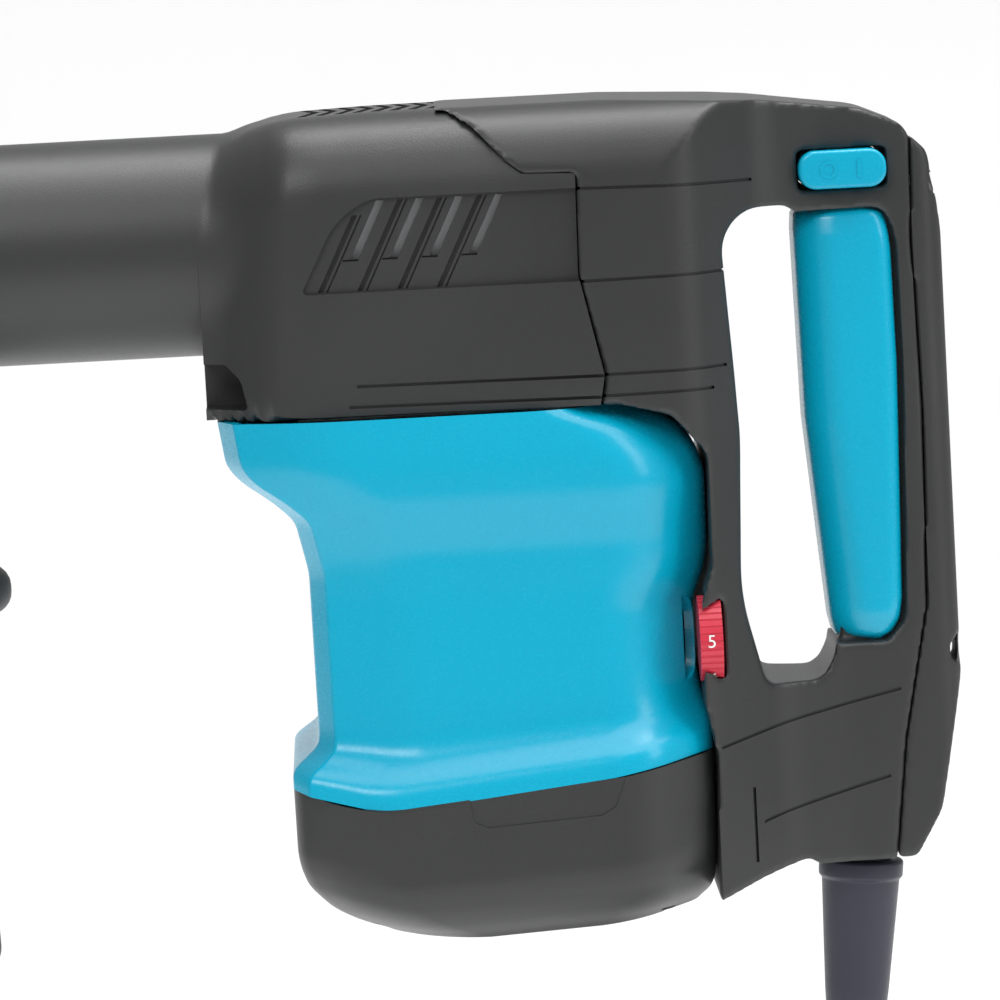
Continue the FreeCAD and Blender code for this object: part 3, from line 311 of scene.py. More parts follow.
def finish_piece(thing, body, slot_name, nodes=(), angle=35, paint=None):
    """Shading, finish, body and the frame nodes that a piece stands for."""
    make_active(thing)
    if thing.type == "MESH":
        bpy.ops.object.shade_smooth_by_angle(angle=math.radians(angle))
    thing.data.materials.clear()
    thing.data.materials.append(FINISHES[paint or slot_name])
    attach(thing, body)
    if nodes:
        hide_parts(*nodes)
    return thing


# ---------------------------------------------------------------- finishes

def new_finish(name):
    material = bpy.data.materials.new(name)
    material.use_nodes = True
    tree = material.node_tree
    shader = tree.nodes["Principled BSDF"]
    place = tree.nodes.new("ShaderNodeTexCoord")
    return material, tree, shader, place


def noise(tree, place, scale, detail=3.0, rough=0.5):
    texture = tree.nodes.new("ShaderNodeTexNoise")
    texture.inputs["Scale"].default_value = scale
    texture.inputs["Detail"].default_value = detail
    texture.inputs["Roughness"].default_value = rough
    tree.links.new(place.outputs["Object"], texture.inputs["Vector"])
    return texture


def ranged(tree, source, low, high):
    """Map a 0 to 1 value to a narrower range."""
    node = tree.nodes.new("ShaderNodeMapRange")
    node.inputs["From Min"].default_value = 0.3
    node.inputs["From Max"].default_value = 0.7
    node.inputs["To Min"].default_value = low
    node.inputs["To Max"].default_value = high
    tree.links.new(source, node.inputs["Value"])
    return node.outputs["Result"]


def tinted(tree, source, dark, light):
    """Two shades of a colour, mixed by a value."""
    ramp = tree.nodes.new("ShaderNodeValToRGB")
    ramp.color_ramp.elements[0].position = 0.32
    ramp.color_ramp.elements[1].position = 0.68
    ramp.color_ramp.elements[0].color = (*dark, 1)
    ramp.color_ramp.elements[1].color = (*light, 1)
    tree.links.new(source, ramp.inputs["Fac"])
    return ramp.outputs["Color"]


def bumped(tree, shader, source, strength, distance):
    bump = tree.nodes.new("ShaderNodeBump")
    bump.inputs["Strength"].default_value = strength
    bump.inputs["Distance"].default_value = distance
    tree.links.new(source, bump.inputs["Height"])
    tree.links.new(bump.outputs["Normal"], shader.inputs["Normal"])


def shades(colour, spread):
    dark = tuple(part * (1 - spread) for part in colour)
    light = tuple(min(part * (1 + spread), 1) for part in colour)
    return dark, light


def moulded_finish(name, colour, spread, rough, grain, depth, shine=0.5):
    """Moulded plastic or rubber: broad shade changes, fine grain and uneven gloss."""
    material, tree, shader, place = new_finish(name)
    patches = noise(tree, place, 14.0, 2.0)
    fine = noise(tree, place, grain, 2.0, 0.6)
    tree.links.new(tinted(tree, patches.outputs["Fac"], *shades(colour, spread)), shader.inputs["Base Color"])
    tree.links.new(ranged(tree, fine.outputs["Fac"], rough - 0.06, rough + 0.06), shader.inputs["Roughness"])
    shader.inputs["Specular IOR Level"].default_value = shine
    bumped(tree, shader, fine.outputs["Fac"], 0.35, depth)
    return material


def metal_finish(name, colour, rough, grain=900.0, stretch=(1, 1, 1), depth=0.00002):
    """Machined or plated metal with fine tool marks and a little staining."""
    material, tree, shader, place = new_finish(name)
    mapping = tree.nodes.new("ShaderNodeMapping")
    mapping.inputs["Scale"].default_value = stretch
    tree.links.new(place.outputs["Object"], mapping.inputs["Vector"])
    marks = tree.nodes.new("ShaderNodeTexNoise")
    marks.inputs["Scale"].default_value = grain
    marks.inputs["Detail"].default_value = 3.0
    tree.links.new(mapping.outputs["Vector"], marks.inputs["Vector"])
    stains = noise(tree, place, 45.0, 4.0)
    tree.links.new(tinted(tree, stains.outputs["Fac"], *shades(colour, 0.16)), shader.inputs["Base Color"])
    tree.links.new(ranged(tree, stains.outputs["Fac"], rough - 0.08, rough + 0.1), shader.inputs["Roughness"])
    shader.inputs["Metallic"].default_value = 1.0
    bumped(tree, shader, marks.outputs["Fac"], 0.3, depth)
    return material


def winding_finish(name, colour):
    """Enamelled copper wire laid side by side."""
    material, tree, shader, place = new_finish(name)
    wave = tree.nodes.new("ShaderNodeTexWave")
    wave.bands_direction = "Z"
    wave.inputs["Scale"].default_value = 420.0
    wave.inputs["Distortion"].default_value = 1.2
    wave.inputs["Detail"].default_value = 1.0
    tree.links.new(place.outputs["Object"], wave.inputs["Vector"])
    tree.links.new(tinted(tree, wave.outputs["Fac"], *shades(colour, 0.35)), shader.inputs["Base Color"])
    shader.inputs["Metallic"].default_value = 0.7
    shader.inputs["Roughness"].default_value = 0.32
    bumped(tree, shader, wave.outputs["Fac"], 0.6, 0.0002)
    return material


def lamination_finish(name, colour):
    """Stacked steel sheets, seen on their edges."""
    material, tree, shader, place = new_finish(name)
    wave = tree.nodes.new("ShaderNodeTexWave")
    wave.bands_direction = "Z"
    wave.inputs["Scale"].default_value = 620.0
    tree.links.new(place.outputs["Object"], wave.inputs["Vector"])
    tree.links.new(tinted(tree, wave.outputs["Fac"], *shades(colour, 0.3)), shader.inputs["Base Color"])
    shader.inputs["Metallic"].default_value = 0.9
    shader.inputs["Roughness"].default_value = 0.5
    bumped(tree, shader, wave.outputs["Fac"], 0.5, 0.0001)
    return material


def strap_finish(name, colour):
    """Woven tape of the cord tie."""
    material, tree, shader, place = new_finish(name)
    checker = tree.nodes.new("ShaderNodeTexVoronoi")
    checker.inputs["Scale"].default_value = 900.0
    tree.links.new(place.outputs["Object"], checker.inputs["Vector"])
    colour_of = tinted(tree, checker.outputs["Distance"], *shades(colour, 0.4))
    tree.links.new(colour_of, shader.inputs["Base Color"])
    shader.inputs["Roughness"].default_value = 0.85
    shader.inputs["Sheen Weight"].default_value = 0.3
    bumped(tree, shader, checker.outputs["Distance"], 0.7, 0.0003)
    return material


FINISHES = {}


def make_finishes():
    teal = tuple(colours().teal)
    black = tuple(colours().black)
    FINISHES.update({
        "black_plastic": moulded_finish("black_plastic", black, 0.10, 0.40, 2400.0, 0.00020),
        "teal_plastic": moulded_finish("teal_plastic", teal, 0.02, 0.25, 900.0, 0.000006, 0.45),
        "dial_plastic": moulded_finish("dial_plastic", tuple(colours().dial), 0.08, 0.36, 1500.0, 0.00004),
        "sleeve_plastic": moulded_finish("sleeve_plastic", (0.05, 0.05, 0.052), 0.10, 0.45, 1900.0, 0.0001),
        "fan_plastic": moulded_finish("fan_plastic", (0.3, 0.3, 0.28), 0.08, 0.5, 900.0, 0.00005),
        "rubber": moulded_finish("rubber", (0.022, 0.022, 0.023), 0.15, 0.62, 1300.0, 0.0001, 0.35),
        "grip_rubber": moulded_finish("grip_rubber", (0.028, 0.028, 0.029), 0.12, 0.5, 1500.0, 0.0001, 0.4),
        "guard_rubber": moulded_finish(
            "guard_rubber", (0.026, 0.028, 0.045), 0.12, 0.4, 1200.0, 0.00006, 0.45),
        "cord_rubber": moulded_finish("cord_rubber", (0.024, 0.025, 0.03), 0.14, 0.46, 1600.0, 0.00006, 0.4),
        "carbon": moulded_finish("carbon", (0.02, 0.02, 0.02), 0.2, 0.6, 800.0, 0.0001),
        "hard_steel": metal_finish("hard_steel", (0.36, 0.36, 0.37), 0.34),
        "bearing_steel": metal_finish("bearing_steel", (0.6, 0.6, 0.61), 0.2),
        "spring_steel": metal_finish("spring_steel", (0.3, 0.3, 0.32), 0.3),
        "screw_steel": metal_finish("screw_steel", (0.16, 0.16, 0.17), 0.36),
        "band_steel": metal_finish("band_steel", (0.22, 0.22, 0.23), 0.4),
        "pin_plating": metal_finish("pin_plating", (0.72, 0.7, 0.64), 0.2),
        "brass": metal_finish("brass", (0.68, 0.5, 0.2), 0.3),
        "cast_aluminium": metal_finish("cast_aluminium", (0.55, 0.56, 0.57), 0.52, 260.0, (1, 1, 1), 0.00025),
        "copper": winding_finish("copper", (0.72, 0.3, 0.12)),
        "lamination": lamination_finish("lamination", (0.3, 0.3, 0.31)),
        "tie_fabric": strap_finish("tie_fabric", (0.03, 0.03, 0.032)),
        "number_paint": moulded_finish("number_paint", (0.85, 0.85, 0.83), 0.04, 0.5, 900.0, 0.00002),
    })


def dress_nodes():
    """Give every frame node the finish of its slot in the record."""
    for part in frame["record"]["subparts"]:
        mesh = NODES[part["node"]].data
        mesh.materials.clear()
        mesh.materials.append(FINISHES[part["material_slot"]])


# ---------------------------------------------------------------- camera

TOOL_MIDDLE = Vector((0.318, 0, -0.0775))
CAMERA_AZIMUTH = math.radians(1.0)
CAMERA_ROLL = math.radians(-3.0)
LENS = 264
CLIP_END = 100


class HAMMER_OT_camera(bpy.types.Operator):
    """Long lens view of the motor and handle from slightly above"""

    bl_idname = "hammer.camera"
    bl_label = "Camera"

    def execute(self, context):
        lens = bpy.data.cameras.new("camera")
        camera = bpy.data.objects.new("camera", lens)
        context.collection.objects.link(camera)
        up = sizes().camera_height
        level = Vector((-math.sin(CAMERA_AZIMUTH), -math.cos(CAMERA_AZIMUTH), 0))
        way = level * math.cos(up) + Z_AXIS * math.sin(up)
        camera.location = TOOL_MIDDLE + way * sizes().camera_distance
        camera.rotation_mode = "QUATERNION"
        turn = (-way).to_track_quat("-Z", "Y")
        camera.rotation_quaternion = turn @ Quaternion((0, 0, 1), CAMERA_ROLL)
        lens.lens = LENS
        lens.clip_end = CLIP_END
        context.scene.camera = camera
        return {"FINISHED"}


# ---------------------------------------------------------------- cord and plug

CORD_ROUTE = [
    (0.41275, 0, -0.23321), (0.41100, 0, -0.25517), (0.41169, 0, -0.28317),
    (0.42009, 0, -0.30400), (0.43759, -0.002, -0.32017), (0.46000, -0.005, -0.33100)]
RING_MIDDLE = Vector((0.42104, 0, -0.38213))
ENTRY_ANGLE = math.radians(52)
TURNS = 11 + 52 / 360
POINTS_PER_TURN = 16
OUTER_REACH = 0.0140
CORE_REACH = 0.0052
STRAND_STEP = math.radians(40)
CORE_TWIST = math.radians(120)
FIRST_STRAND = math.radians(-22.7)
CORD_TAIL = [(0.4885, -0.003, -0.3995), (0.4850, -0.002, -0.4170), (0.4782, 0, -0.4310),
             (0.47504, 0, -0.4420), (0.47504, 0, -0.4520)]
GUARD_TOP = Vector((0.4174, 0, -0.1754))
GUARD_TILT = math.radians(4.6)
GUARD_WAY = Vector((-math.sin(GUARD_TILT), 0, -math.cos(GUARD_TILT)))
GUARD_LONG = 70.0
TIE_ANGLE = math.radians(150)
PLUG_TOP = Vector((0.47504, 0, -0.44413))


def strand_offset(turn):
    """Where a strand lies across the bundle: eight turns outside, then three in the core."""
    core = smooth_step(turn, 7.6, 8.0) - smooth_step(turn, 10.7, 11.1)
    reach = OUTER_REACH + (CORE_REACH - OUTER_REACH) * core
    angle = FIRST_STRAND - STRAND_STEP * turn - (CORE_TWIST - STRAND_STEP) * max(turn - 8, 0)
    return reach * math.cos(angle), reach * math.sin(angle)


def coil_points():
    """The put away cord, wound into a bundle round the ring's middle line."""
    points = []
    radius = sizes().coil_radius * MM
    for step in range(1, int(TURNS * POINTS_PER_TURN) + 1):
        turn = step / POINTS_PER_TURN
        angle = ENTRY_ANGLE - 2 * math.pi * turn
        outward, aside = strand_offset(turn)
        way = Vector((math.cos(angle), 0, math.sin(angle)))
        points.append(RING_MIDDLE + way * (radius + outward) + Y_AXIS * aside)
    return points


class HAMMER_OT_cord(bpy.types.Operator):
    """Rubber cord from the guard, wound up, with its tie and plug"""

    bl_idname = "hammer.cord"
    bl_label = "Cord"

    def execute(self, context):
        points = [*map(Vector, CORD_ROUTE), *coil_points(), *map(Vector, CORD_TAIL)]
        curve = bpy.data.curves.new("flex", "CURVE")
        curve.dimensions = "3D"
        spline = curve.splines.new("NURBS")
        spline.points.add(len(points) - 1)
        for point, place in zip(spline.points, points):
            point.co = (*place, 1)
        spline.order_u = 3
        spline.use_endpoint_u = True
        spline.resolution_u = 3
        curve.bevel_depth = sizes().cord * MM / 2
        curve.bevel_resolution = 4
        curve.use_fill_caps = True
        cord = bpy.data.objects.new("flex", curve)
        context.collection.objects.link(cord)
        finish_piece(cord, "root", "cord_rubber", ("power_cord", "cord_coil"))
        tie = make_tie()
        plug = make_plug()
        return {"FINISHED"}


def make_tie():
    """A band of woven tape round the bundle."""
    out = Vector((math.cos(TIE_ANGLE), 0, math.sin(TIE_ANGLE)))
    onward = Vector((math.sin(TIE_ANGLE), 0, -math.cos(TIE_ANGLE)))
    spot = (RING_MIDDLE + out * sizes().coil_radius * MM) / MM
    band = [(-7.5, 18.9, 0.3), (-7.5, 20.5, 0.5), (7.5, 20.5, 0.5), (7.5, 18.9, 0.3)]
    tie = turned("tie_band", rounded_profile(band, 2), spot, onward, 64)
    return finish_piece(tie, "root", "tie_fabric", ("cord_tie",))


# drop below the top of the plug, half width along the pins' row, half width across it
PLUG_SECTIONS = (
    (0, 6.0, 6.0), (1, 6.4, 6.4), (4, 6.7, 6.7), (4.6, 6.0, 6.0), (5.6, 6.0, 6.0), (6.2, 7.1, 7.1),
    (8.6, 7.5, 7.5), (9.2, 6.7, 6.7), (10.2, 6.8, 6.8), (10.8, 8.4, 8.0), (13.5, 13.5, 10.4),
    (16.5, 16.8, 11.6), (22, 17.4, 11.8), (30, 16.2, 10.6), (38, 16.6, 10.9), (43, 17.4, 11.9),
    (47, 17.4, 11.9), (48, 16.8, 11.3))
PLUG_ROUNDING = 0.82
PIN_SPREAD = 9.5


def make_plug():
    """Moulded two pin plug: ribbed neck and a body with hollowed sides."""
    top = PLUG_TOP / MM
    loops = []
    for drop, half_x, half_y in PLUG_SECTIONS:
        round_off = min(half_x, half_y) * PLUG_ROUNDING
        outline = rounded_outline([(half_x, -half_y, round_off), (half_x, half_y, round_off),
                                   (-half_x, half_y, round_off), (-half_x, -half_y, round_off)], 9)
        loops.append([(top.x + p.x, p.y, top.z - drop) for p in outline])
    plug = skin("plug_shell", loops)
    subtract(plug, plug_pin_seats(top))
    return finish_piece(plug, "root", "cord_rubber", ("plug_body",))


def plug_pin_seats(top):
    """Holes for the two pins."""
    profile = [(-50.0, 2.5), (-40.0, 2.5)]
    seats = []
    for spread in (-PIN_SPREAD, PIN_SPREAD):
        seats.append(turned("seat", profile, (top.x + spread, 0, top.z), Z_AXIS, 24, None, True))
    return join(seats)


class HAMMER_OT_guard(bpy.types.Operator):
    """Tapered cord guard with its collar"""

    bl_idname = "hammer.guard"
    bl_label = "Cord guard"

    def execute(self, context):
        corners = [(0.2, 4.7, 0), (0.2, 11.4, 0.5), (2.7, 11.4, 0.5), (2.7, 8.7, 0), (10.9, 8.7, 0),
                   (10.9, 12.2, 1.2), (15.8, 12.1, 1.2), (16.8, 11.2, 1), (49, 9.2, 40),
                   (GUARD_LONG, 7.3, 1.4), (GUARD_LONG, 4.7, 0)]
        guard = turned("guard_sleeve", rounded_profile(corners), GUARD_TOP / MM, GUARD_WAY, 64)
        finish_piece(guard, "root", "guard_rubber", ("cord_guard",))
        return {"FINISHED"}


# ---------------------------------------------------------------- crank housing

# along the tool, then half width or height; outlines are (along, height) in the side view
BODY_FRONT = 236.0
BODY_LOW = -47.9
BODY_BELLY = 1.3
TUBE_BORE = 26.9
SHOULDER_TILT = 0.08
SHOULDER_FILLET = 6.0
SHOULDER_STEP = 1.4
SEAM = [(302, 37.5), (308, 35.4), (314.5, 31.2), (323.5, 21.2), (328, 17.8), (343, 17.2), (342.5, -11.4),
        (348.4, -39.6), (346.8, -48.2), (346.8, -52)]
BODY_HALF = [(236, 27), (244, 31.5), (250, 37), (255, 42), (260, 45.2), (268, 46), (310, 46.2), (352, 47.1)]
BODY_TOP = [(236, 8), (241, 22), (246, 31.4), (253, 34.4), (262, 35.8), (285, 36.4), (330, 36.6), (352, 36.4)]
LOOP_POINTS = 144


def reach_of(outline, angle):
    """Distance from the axis to a closed outline in one direction."""
    way = Vector((math.cos(angle), math.sin(angle)))
    best = 0.0
    for first, last in zip(outline, outline[1:] + outline[:1]):
        edge = last - first
        cross = way.x * edge.y - way.y * edge.x
        if abs(cross) < 1e-9:
            continue
        distance = (first.x * edge.y - first.y * edge.x) / cross
        share = (first.x * way.y - first.y * way.x) / cross
        if distance > best and -1e-6 <= share <= 1 + 1e-6:
            best = distance
    return best


def body_outline(place):
    """Outline of the crank housing across the tool."""
    half = along(BODY_HALF, place, 2.0)
    top = along(BODY_TOP, place, 3.0)
    shoulder = min(24, half * 0.6)
    belly = half + BODY_BELLY
    halves = [(belly, BODY_LOW, 0.6), (belly, -40, 8), (half, -14, 30), (half, top, shoulder)]
    return rounded_outline(halves + [(-y, z, radius) for y, z, radius in reversed(halves)], 8)


def soft_larger(first, second, softness):
    """The larger of two lengths, with a fillet where they are alike."""
    gap = max(softness - abs(first - second), 0) / softness
    return max(first, second) + gap * gap * softness / 4


def barrel_radius(place):
    tube = sizes().tube
    nose = [(88, 27.0), (89, 28.0), (94, 29.3), (102, 31), (110, tube), (250, tube)]
    return along(nose, place)


def body_loop(place):
    """A section across the tool: the barrel tube, merged with the crank housing behind it."""
    tilt = SHOULDER_TILT * smooth_step(place, BODY_FRONT, 250) * (1 - smooth_step(place, 262, 295))
    outline = body_outline(place) if place > BODY_FRONT else None
    loop = []
    for index in range(LOOP_POINTS):
        angle = index * 2 * math.pi / LOOP_POINTS
        reach = barrel_radius(place)
        if outline:
            tube = reach * (1 - smooth_step(place, 262, 280))
            reach = soft_larger(tube, reach_of(outline, angle), SHOULDER_FILLET)
        y = reach * math.cos(angle)
        z = reach * math.sin(angle)
        loop.append((place + tilt * z, y, z))
    return loop


def body_stations():
    """Places of the housing's sections, close together over the shoulder."""
    nose = [88, 88.5, 89, 94, 98, 102, 106, 110, 150, 190, 220, BODY_FRONT]
    shoulder = [BODY_FRONT + 0.1 + SHOULDER_STEP * step for step in range(36)]
    return nose + shoulder + [290, 296, 302, 310, 320, 330, 340, 352, 356]


def room_loop(place):
    """A section of the room inside the crank housing."""
    wall = 3.2 + 0.5 * max(279 - place, 0)
    half = along(BODY_HALF, place) - wall
    top = along(BODY_TOP, place) - wall
    corners = [(half, -80, 0), (half, top, 20), (-half, top, 20), (-half, -80, 0)]
    return [(place, p.x, p.y) for p in rounded_outline(corners, 8)]


def behind_seam(shift):
    """Everything behind the seam with the handle."""
    return [(x + shift, z, 0) for x, z in SEAM] + [(380, -60, 0), (380, 60, 0), (302 + shift, 60, 0)]


def side_panel():
    """Recessed vent panel on each side."""
    return [(264.6, -13.0, 1.2), (275.2, 7.5, 22), (285, 13.1, 12), (343, 13.1, 0), (343, -13.0, 0)]


VENT_COUNT = 4
VENT_START = 269.4
VENT_PITCH = 11.1
VENT_LEAN = 0.5
PANEL_FLOOR = 44.7
OUTSIDE = 60


def slanted(x, wide, low, high):
    """An upright strip that leans back."""
    lean = VENT_LEAN * (high - low)
    return [(x, low, 0), (x + wide, low, 0), (x + wide + lean, high, 0), (x + lean, high, 0)]


def vent_cutters():
    """Each vent is two fine slots, a wider slot and the step at a bar's foot."""
    cutters = []
    floor = PANEL_FLOOR - 1.3
    for index in range(VENT_COUNT):
        x = VENT_START + VENT_PITCH * index
        top = 8.6 if index == 0 else 12.4
        cutters.append(both_sides("vent", slanted(x, 1.5, -12.6, top), floor, 47))
        cutters.append(both_sides("vent", slanted(x + 2.3, 0.55, -12.6, top), floor + 0.5, 47))
        cutters.append(both_sides("vent", slanted(x + 9.6, 2.3, -3.6, 12.4), floor - 0.6, 47))
        step = rectangle(x + 7.4, x + 11.8, -4.2, -3.7)
        cutters.append(both_sides("vent", step, floor + 0.3, 47))
    return cutters


GROOVE_FLOOR = 46.6


def level_groove(start, end, low, high, drop):
    """A shallow groove along the side, falling by a drop from its start to its end."""
    corners = [(start, low, 0), (end, low + drop, 0), (end, high + drop, 0), (start, high, 0)]
    return both_sides("groove", corners, GROOVE_FLOOR, OUTSIDE)


class HAMMER_OT_crank_housing(bpy.types.Operator):
    """Barrel tube and crank housing in one moulding, with its vent panels"""

    bl_idname = "hammer.crank_housing"
    bl_label = "Crank housing"

    def execute(self, context):
        housing = skin("crank_housing", [body_loop(place) for place in body_stations()])
        bore = [(80, TUBE_BORE), (262, TUBE_BORE)]
        subtract(housing, turned("bore", bore, (0, 0, 0), X_AXIS, 96, None, True))
        subtract(housing, skin("room", [room_loop(place) for place in (267, 271, 279, 310, 352, 372)]))
        subtract(housing, prism("behind", behind_seam(-sizes().seam_gap / 2), "Y", -70, 70))
        subtract(housing, exhaust_cutter())
        subtract(housing, both_sides("panel", side_panel(), PANEL_FLOOR, OUTSIDE, 10))
        for cutter in vent_cutters():
            subtract(housing, cutter)
        subtract(housing, level_groove(279, 350, -39.6, -38.7, -0.5))
        subtract(housing, level_groove(276.5, 350, -45.3, -44.4, -0.8))
        for cutter in top_ribs():
            subtract(housing, cutter)
        finish_piece(housing, "root", "black_plastic", ("front_housing",), 38)
        return {"FINISHED"}


def exhaust_cutter():
    """Air outlet through the front corners below the barrel."""
    corners = [(230, -44.8, 0), (248.2, -44.8, 1), (246.4, -36.5, 5), (242.2, -32.2, 2), (230, -32.0, 0)]
    return both_sides("exhaust", corners, 16, OUTSIDE)


RIB_COUNT = 8
RIB_START = 266
RIB_PITCH = 5.2
RIB_WIDE = 2.6
RIB_SWEEP = 4
RIB_HALF = 22
RIB_DEEP = 0.9


def top_ribs():
    """Chevron grooves across the top."""
    cutters = []
    for index in range(RIB_COUNT):
        x = RIB_START + RIB_PITCH * index
        corners = [(x, -RIB_HALF, 0), (x + RIB_WIDE, -RIB_HALF, 0), (x + RIB_WIDE + RIB_SWEEP, 0, 0),
                   (x + RIB_WIDE, RIB_HALF, 0), (x, RIB_HALF, 0), (x + RIB_SWEEP, 0, 0)]
        cutters.append(prism("rib", corners, "Z", along(BODY_TOP, x) - RIB_DEEP, OUTSIDE))
    return cutters


# ---------------------------------------------------------------- motor housing and bottom cover

# height, then the place of the front or back, or half the width
MOTOR_HIGH = -48.45
MOTOR_RINGS = 71
MOTOR_STEP = 1.55
MOTOR_FRONT = [(-160, 255), (-151.5, 255), (-142.5, 262.9), (-92, 262.5), (-77, 259.3), (-71.5, 253.5),
               (-65.5, 244.5), (-61, 240.8), (-56, 240.1), (-48, 238.9)]
MOTOR_BACK = [(-160, 374.2), (-148, 374), (-133, 371.4), (-124, 370.6), (-106, 370.6), (-97, 374.4),
              (-90, 375.6), (-69, 375.6), (-61.3, 373.2), (-54.6, 368), (-50.8, 361), (-48, 352)]
MOTOR_HALF = [(-160, 57.2), (-151, 56.6), (-145.5, 51.2), (-140, 48.6), (-100, 47.6), (-86, 48.0),
              (-72, 51.4), (-62, 51.8), (-48, 50.2)]
SEAM_LEVEL = -157
# along the tool, then height
BOTTOM_SEAM = [(255, -151.4), (263.8, -155.0), (281, -158.2), (305, -157.4), (338.6, -152.9), (374, -147.2)]


def motor_outline(high):
    """Level outline of the motor housing, with its chamfered front corners."""
    front = along(MOTOR_FRONT, high, 1.8)
    back = along(MOTOR_BACK, high, 1.8)
    half = along(MOTOR_HALF, high, 2.4)
    taper = smooth_step(high, -75, -60)
    face = half - 15 - 8 * taper
    shoulder = half - 5.5 - 4 * taper
    halves = [(front, face, 6), (front + 4.6, shoulder, 1.6), (front + 26, half, 50),
              (back - 19, half, 24), (back, half - 20, 12)]
    return rounded_outline(mirrored(halves), 7)


def level_of(high, x):
    """Height of a motor housing loop at a place along the tool; the lower loops follow the seam."""
    seam = along(BOTTOM_SEAM, x, 6.0)
    share = smooth_step(-high, 118, -SEAM_LEVEL)
    return high + share * (seam - SEAM_LEVEL)


class HAMMER_OT_motor_housing(bpy.types.Operator):
    """Glossy motor housing with its waist, flare and chamfered front corners"""

    bl_idname = "hammer.motor_housing"
    bl_label = "Motor housing"

    def execute(self, context):
        loops = []
        for ring in range(MOTOR_RINGS):
            high = MOTOR_HIGH - MOTOR_STEP * ring
            loops.append([(p.x, p.y, level_of(high, p.x)) for p in motor_outline(high)])
        housing = skin("motor_shell", loops, False)
        wall = sizes().wall * MM
        apply_modifier(housing, "SOLIDIFY", thickness=wall, offset=-1, use_even_offset=True)
        subtract(housing, dial_room())
        finish_piece(housing, "root", "teal_plastic", ("motor_housing",), 28)
        return {"FINISHED"}


DIAL_AXIS = (-36.0, -116.2)


def dial_room():
    """Pocket round the speed dial in the motor housing."""
    profile = [(367.2, 12.7), (378.4, 12.7)]
    return turned("dial_room", profile, (0, *DIAL_AXIS), X_AXIS, 48, None, True)


class HAMMER_OT_bottom_cover(bpy.types.Operator):
    """Black cover under the motor, with its grip notch"""

    bl_idname = "hammer.bottom_cover"
    bl_label = "Bottom cover"

    def execute(self, context):
        cover = skin("bottom_shell", [cover_loop(ring / COVER_RINGS) for ring in range(COVER_RINGS + 1)])
        subtract(cover, cover_inside())
        for spot in COVER_SCREWS:
            hole = [(-205, 4.1), (-192, 4.1)]
            subtract(cover, turned("screw_hole", hole, (*spot, 0), Z_AXIS, 24, None, True))
        notch = [(303.5, -150, 0), (305, -162.2, 2), (309, -164, 2), (341, -162.2, 2), (345, -160, 2),
                 (349, -150, 0)]
        subtract(cover, both_sides("notch", notch, NOTCH_FLOOR, OUTSIDE))
        finish_piece(cover, "root", "black_plastic", ("bottom_cover",), 30)
        screws = join([cover_screw(*spot) for spot in COVER_SCREWS])
        finish_piece(screws, "root", "screw_steel", ("bottom_screws",))
        return {"FINISHED"}


def cover_screw(x, y):
    """Cross head screw, sunk into the cover."""
    profile = [(-187.8, 0.4), (-187.8, 3.1), (-187.2, 3.7), (-184.6, 3.7), (-184.6, 2.1), (-160, 2.1),
               (-159, 1.2)]
    screw = turned("cover_screw", profile, (x, y, 0), Z_AXIS, 32, None, True)
    for wide, deep in ((2.0, 0.45), (0.45, 2.0)):
        cross = rectangle(x - wide, x + wide, y - deep, y + deep)
        subtract(screw, prism("cross", cross, "Z", -189, -186.2))
    return screw


COVER_SCREWS = ((273, -38), (273, 38), (361, -38), (361, 38))
COVER_RINGS = 40
NOTCH_FLOOR = 56.9
# share of the depth from the seam to the lowest face, then place or half width
COVER_FRONT = [(0, 255), (0.45, 255.2), (0.55, 255.9), (0.67, 257.8), (0.83, 264.4), (0.93, 272), (1, 281)]
COVER_BACK = [(0, 374), (0.6, 373.8), (0.86, 373), (0.95, 371.5), (1, 368)]
COVER_HALF = [(0, 57.2), (0.6, 57.2), (0.73, 56.2), (0.82, 53), (0.92, 48.4), (1, 43)]
# along the tool, then height of the lowest face
COVER_LOW = [(255, -193.6), (275, -195.2), (297, -196.6), (320, -196.9), (350, -194.4), (376, -190.4)]


def cover_loop(share, inset=0.0):
    """A section of the bottom cover, between the seam and its lowest face."""
    front = along(COVER_FRONT, share, 0.03) + inset
    back = along(COVER_BACK, share, 0.03) - inset
    half = along(COVER_HALF, share, 0.04) - inset
    halves = [(front, half - 17, 14), (front + 15, half, 30), (back - 19, half, 24), (back, half - 18, 12)]
    loop = []
    for p in rounded_outline(mirrored(halves), 8):
        top = along(BOTTOM_SEAM, p.x, 6.0) - sizes().seam_gap
        low = along(COVER_LOW, p.x, 8.0)
        loop.append((p.x, p.y, top + (low - top) * share + inset * share))
    return loop


def cover_inside():
    """The room inside the bottom cover, open at the top."""
    wall = sizes().wall
    loops = [[(x, y, z + 12) for x, y, z in cover_loop(0.0, wall)]]
    loops += [cover_loop(step / 20, wall) for step in range(21)]
    return skin("cover_inside", loops)


# ---------------------------------------------------------------- handle

LINE_WIDE = 0.9
LINE_DEEP = 0.7


def slab(start, end, wide):
    """A thin slab across the tool through a line of the side view."""
    start = Vector(start)
    end = Vector(end)
    aside = Vector((start.y - end.y, end.x - start.x)).normalized() * (wide / 2)
    corners = [(*(start + aside), 0), (*(start - aside), 0), (*(end - aside), 0), (*(end + aside), 0)]
    return prism("line", corners, "Y", -OUTSIDE, OUTSIDE)


def engrave(thing, cutter, depth):
    """Cut a piece with slabs, to an even depth below its surface."""
    core = bpy.data.objects.new("core", thing.data.copy())
    bpy.context.collection.objects.link(core)
    apply_modifier(core, "DISPLACE", strength=-depth * MM, mid_level=0.0)
    subtract(cutter, core)
    subtract(thing, cutter)


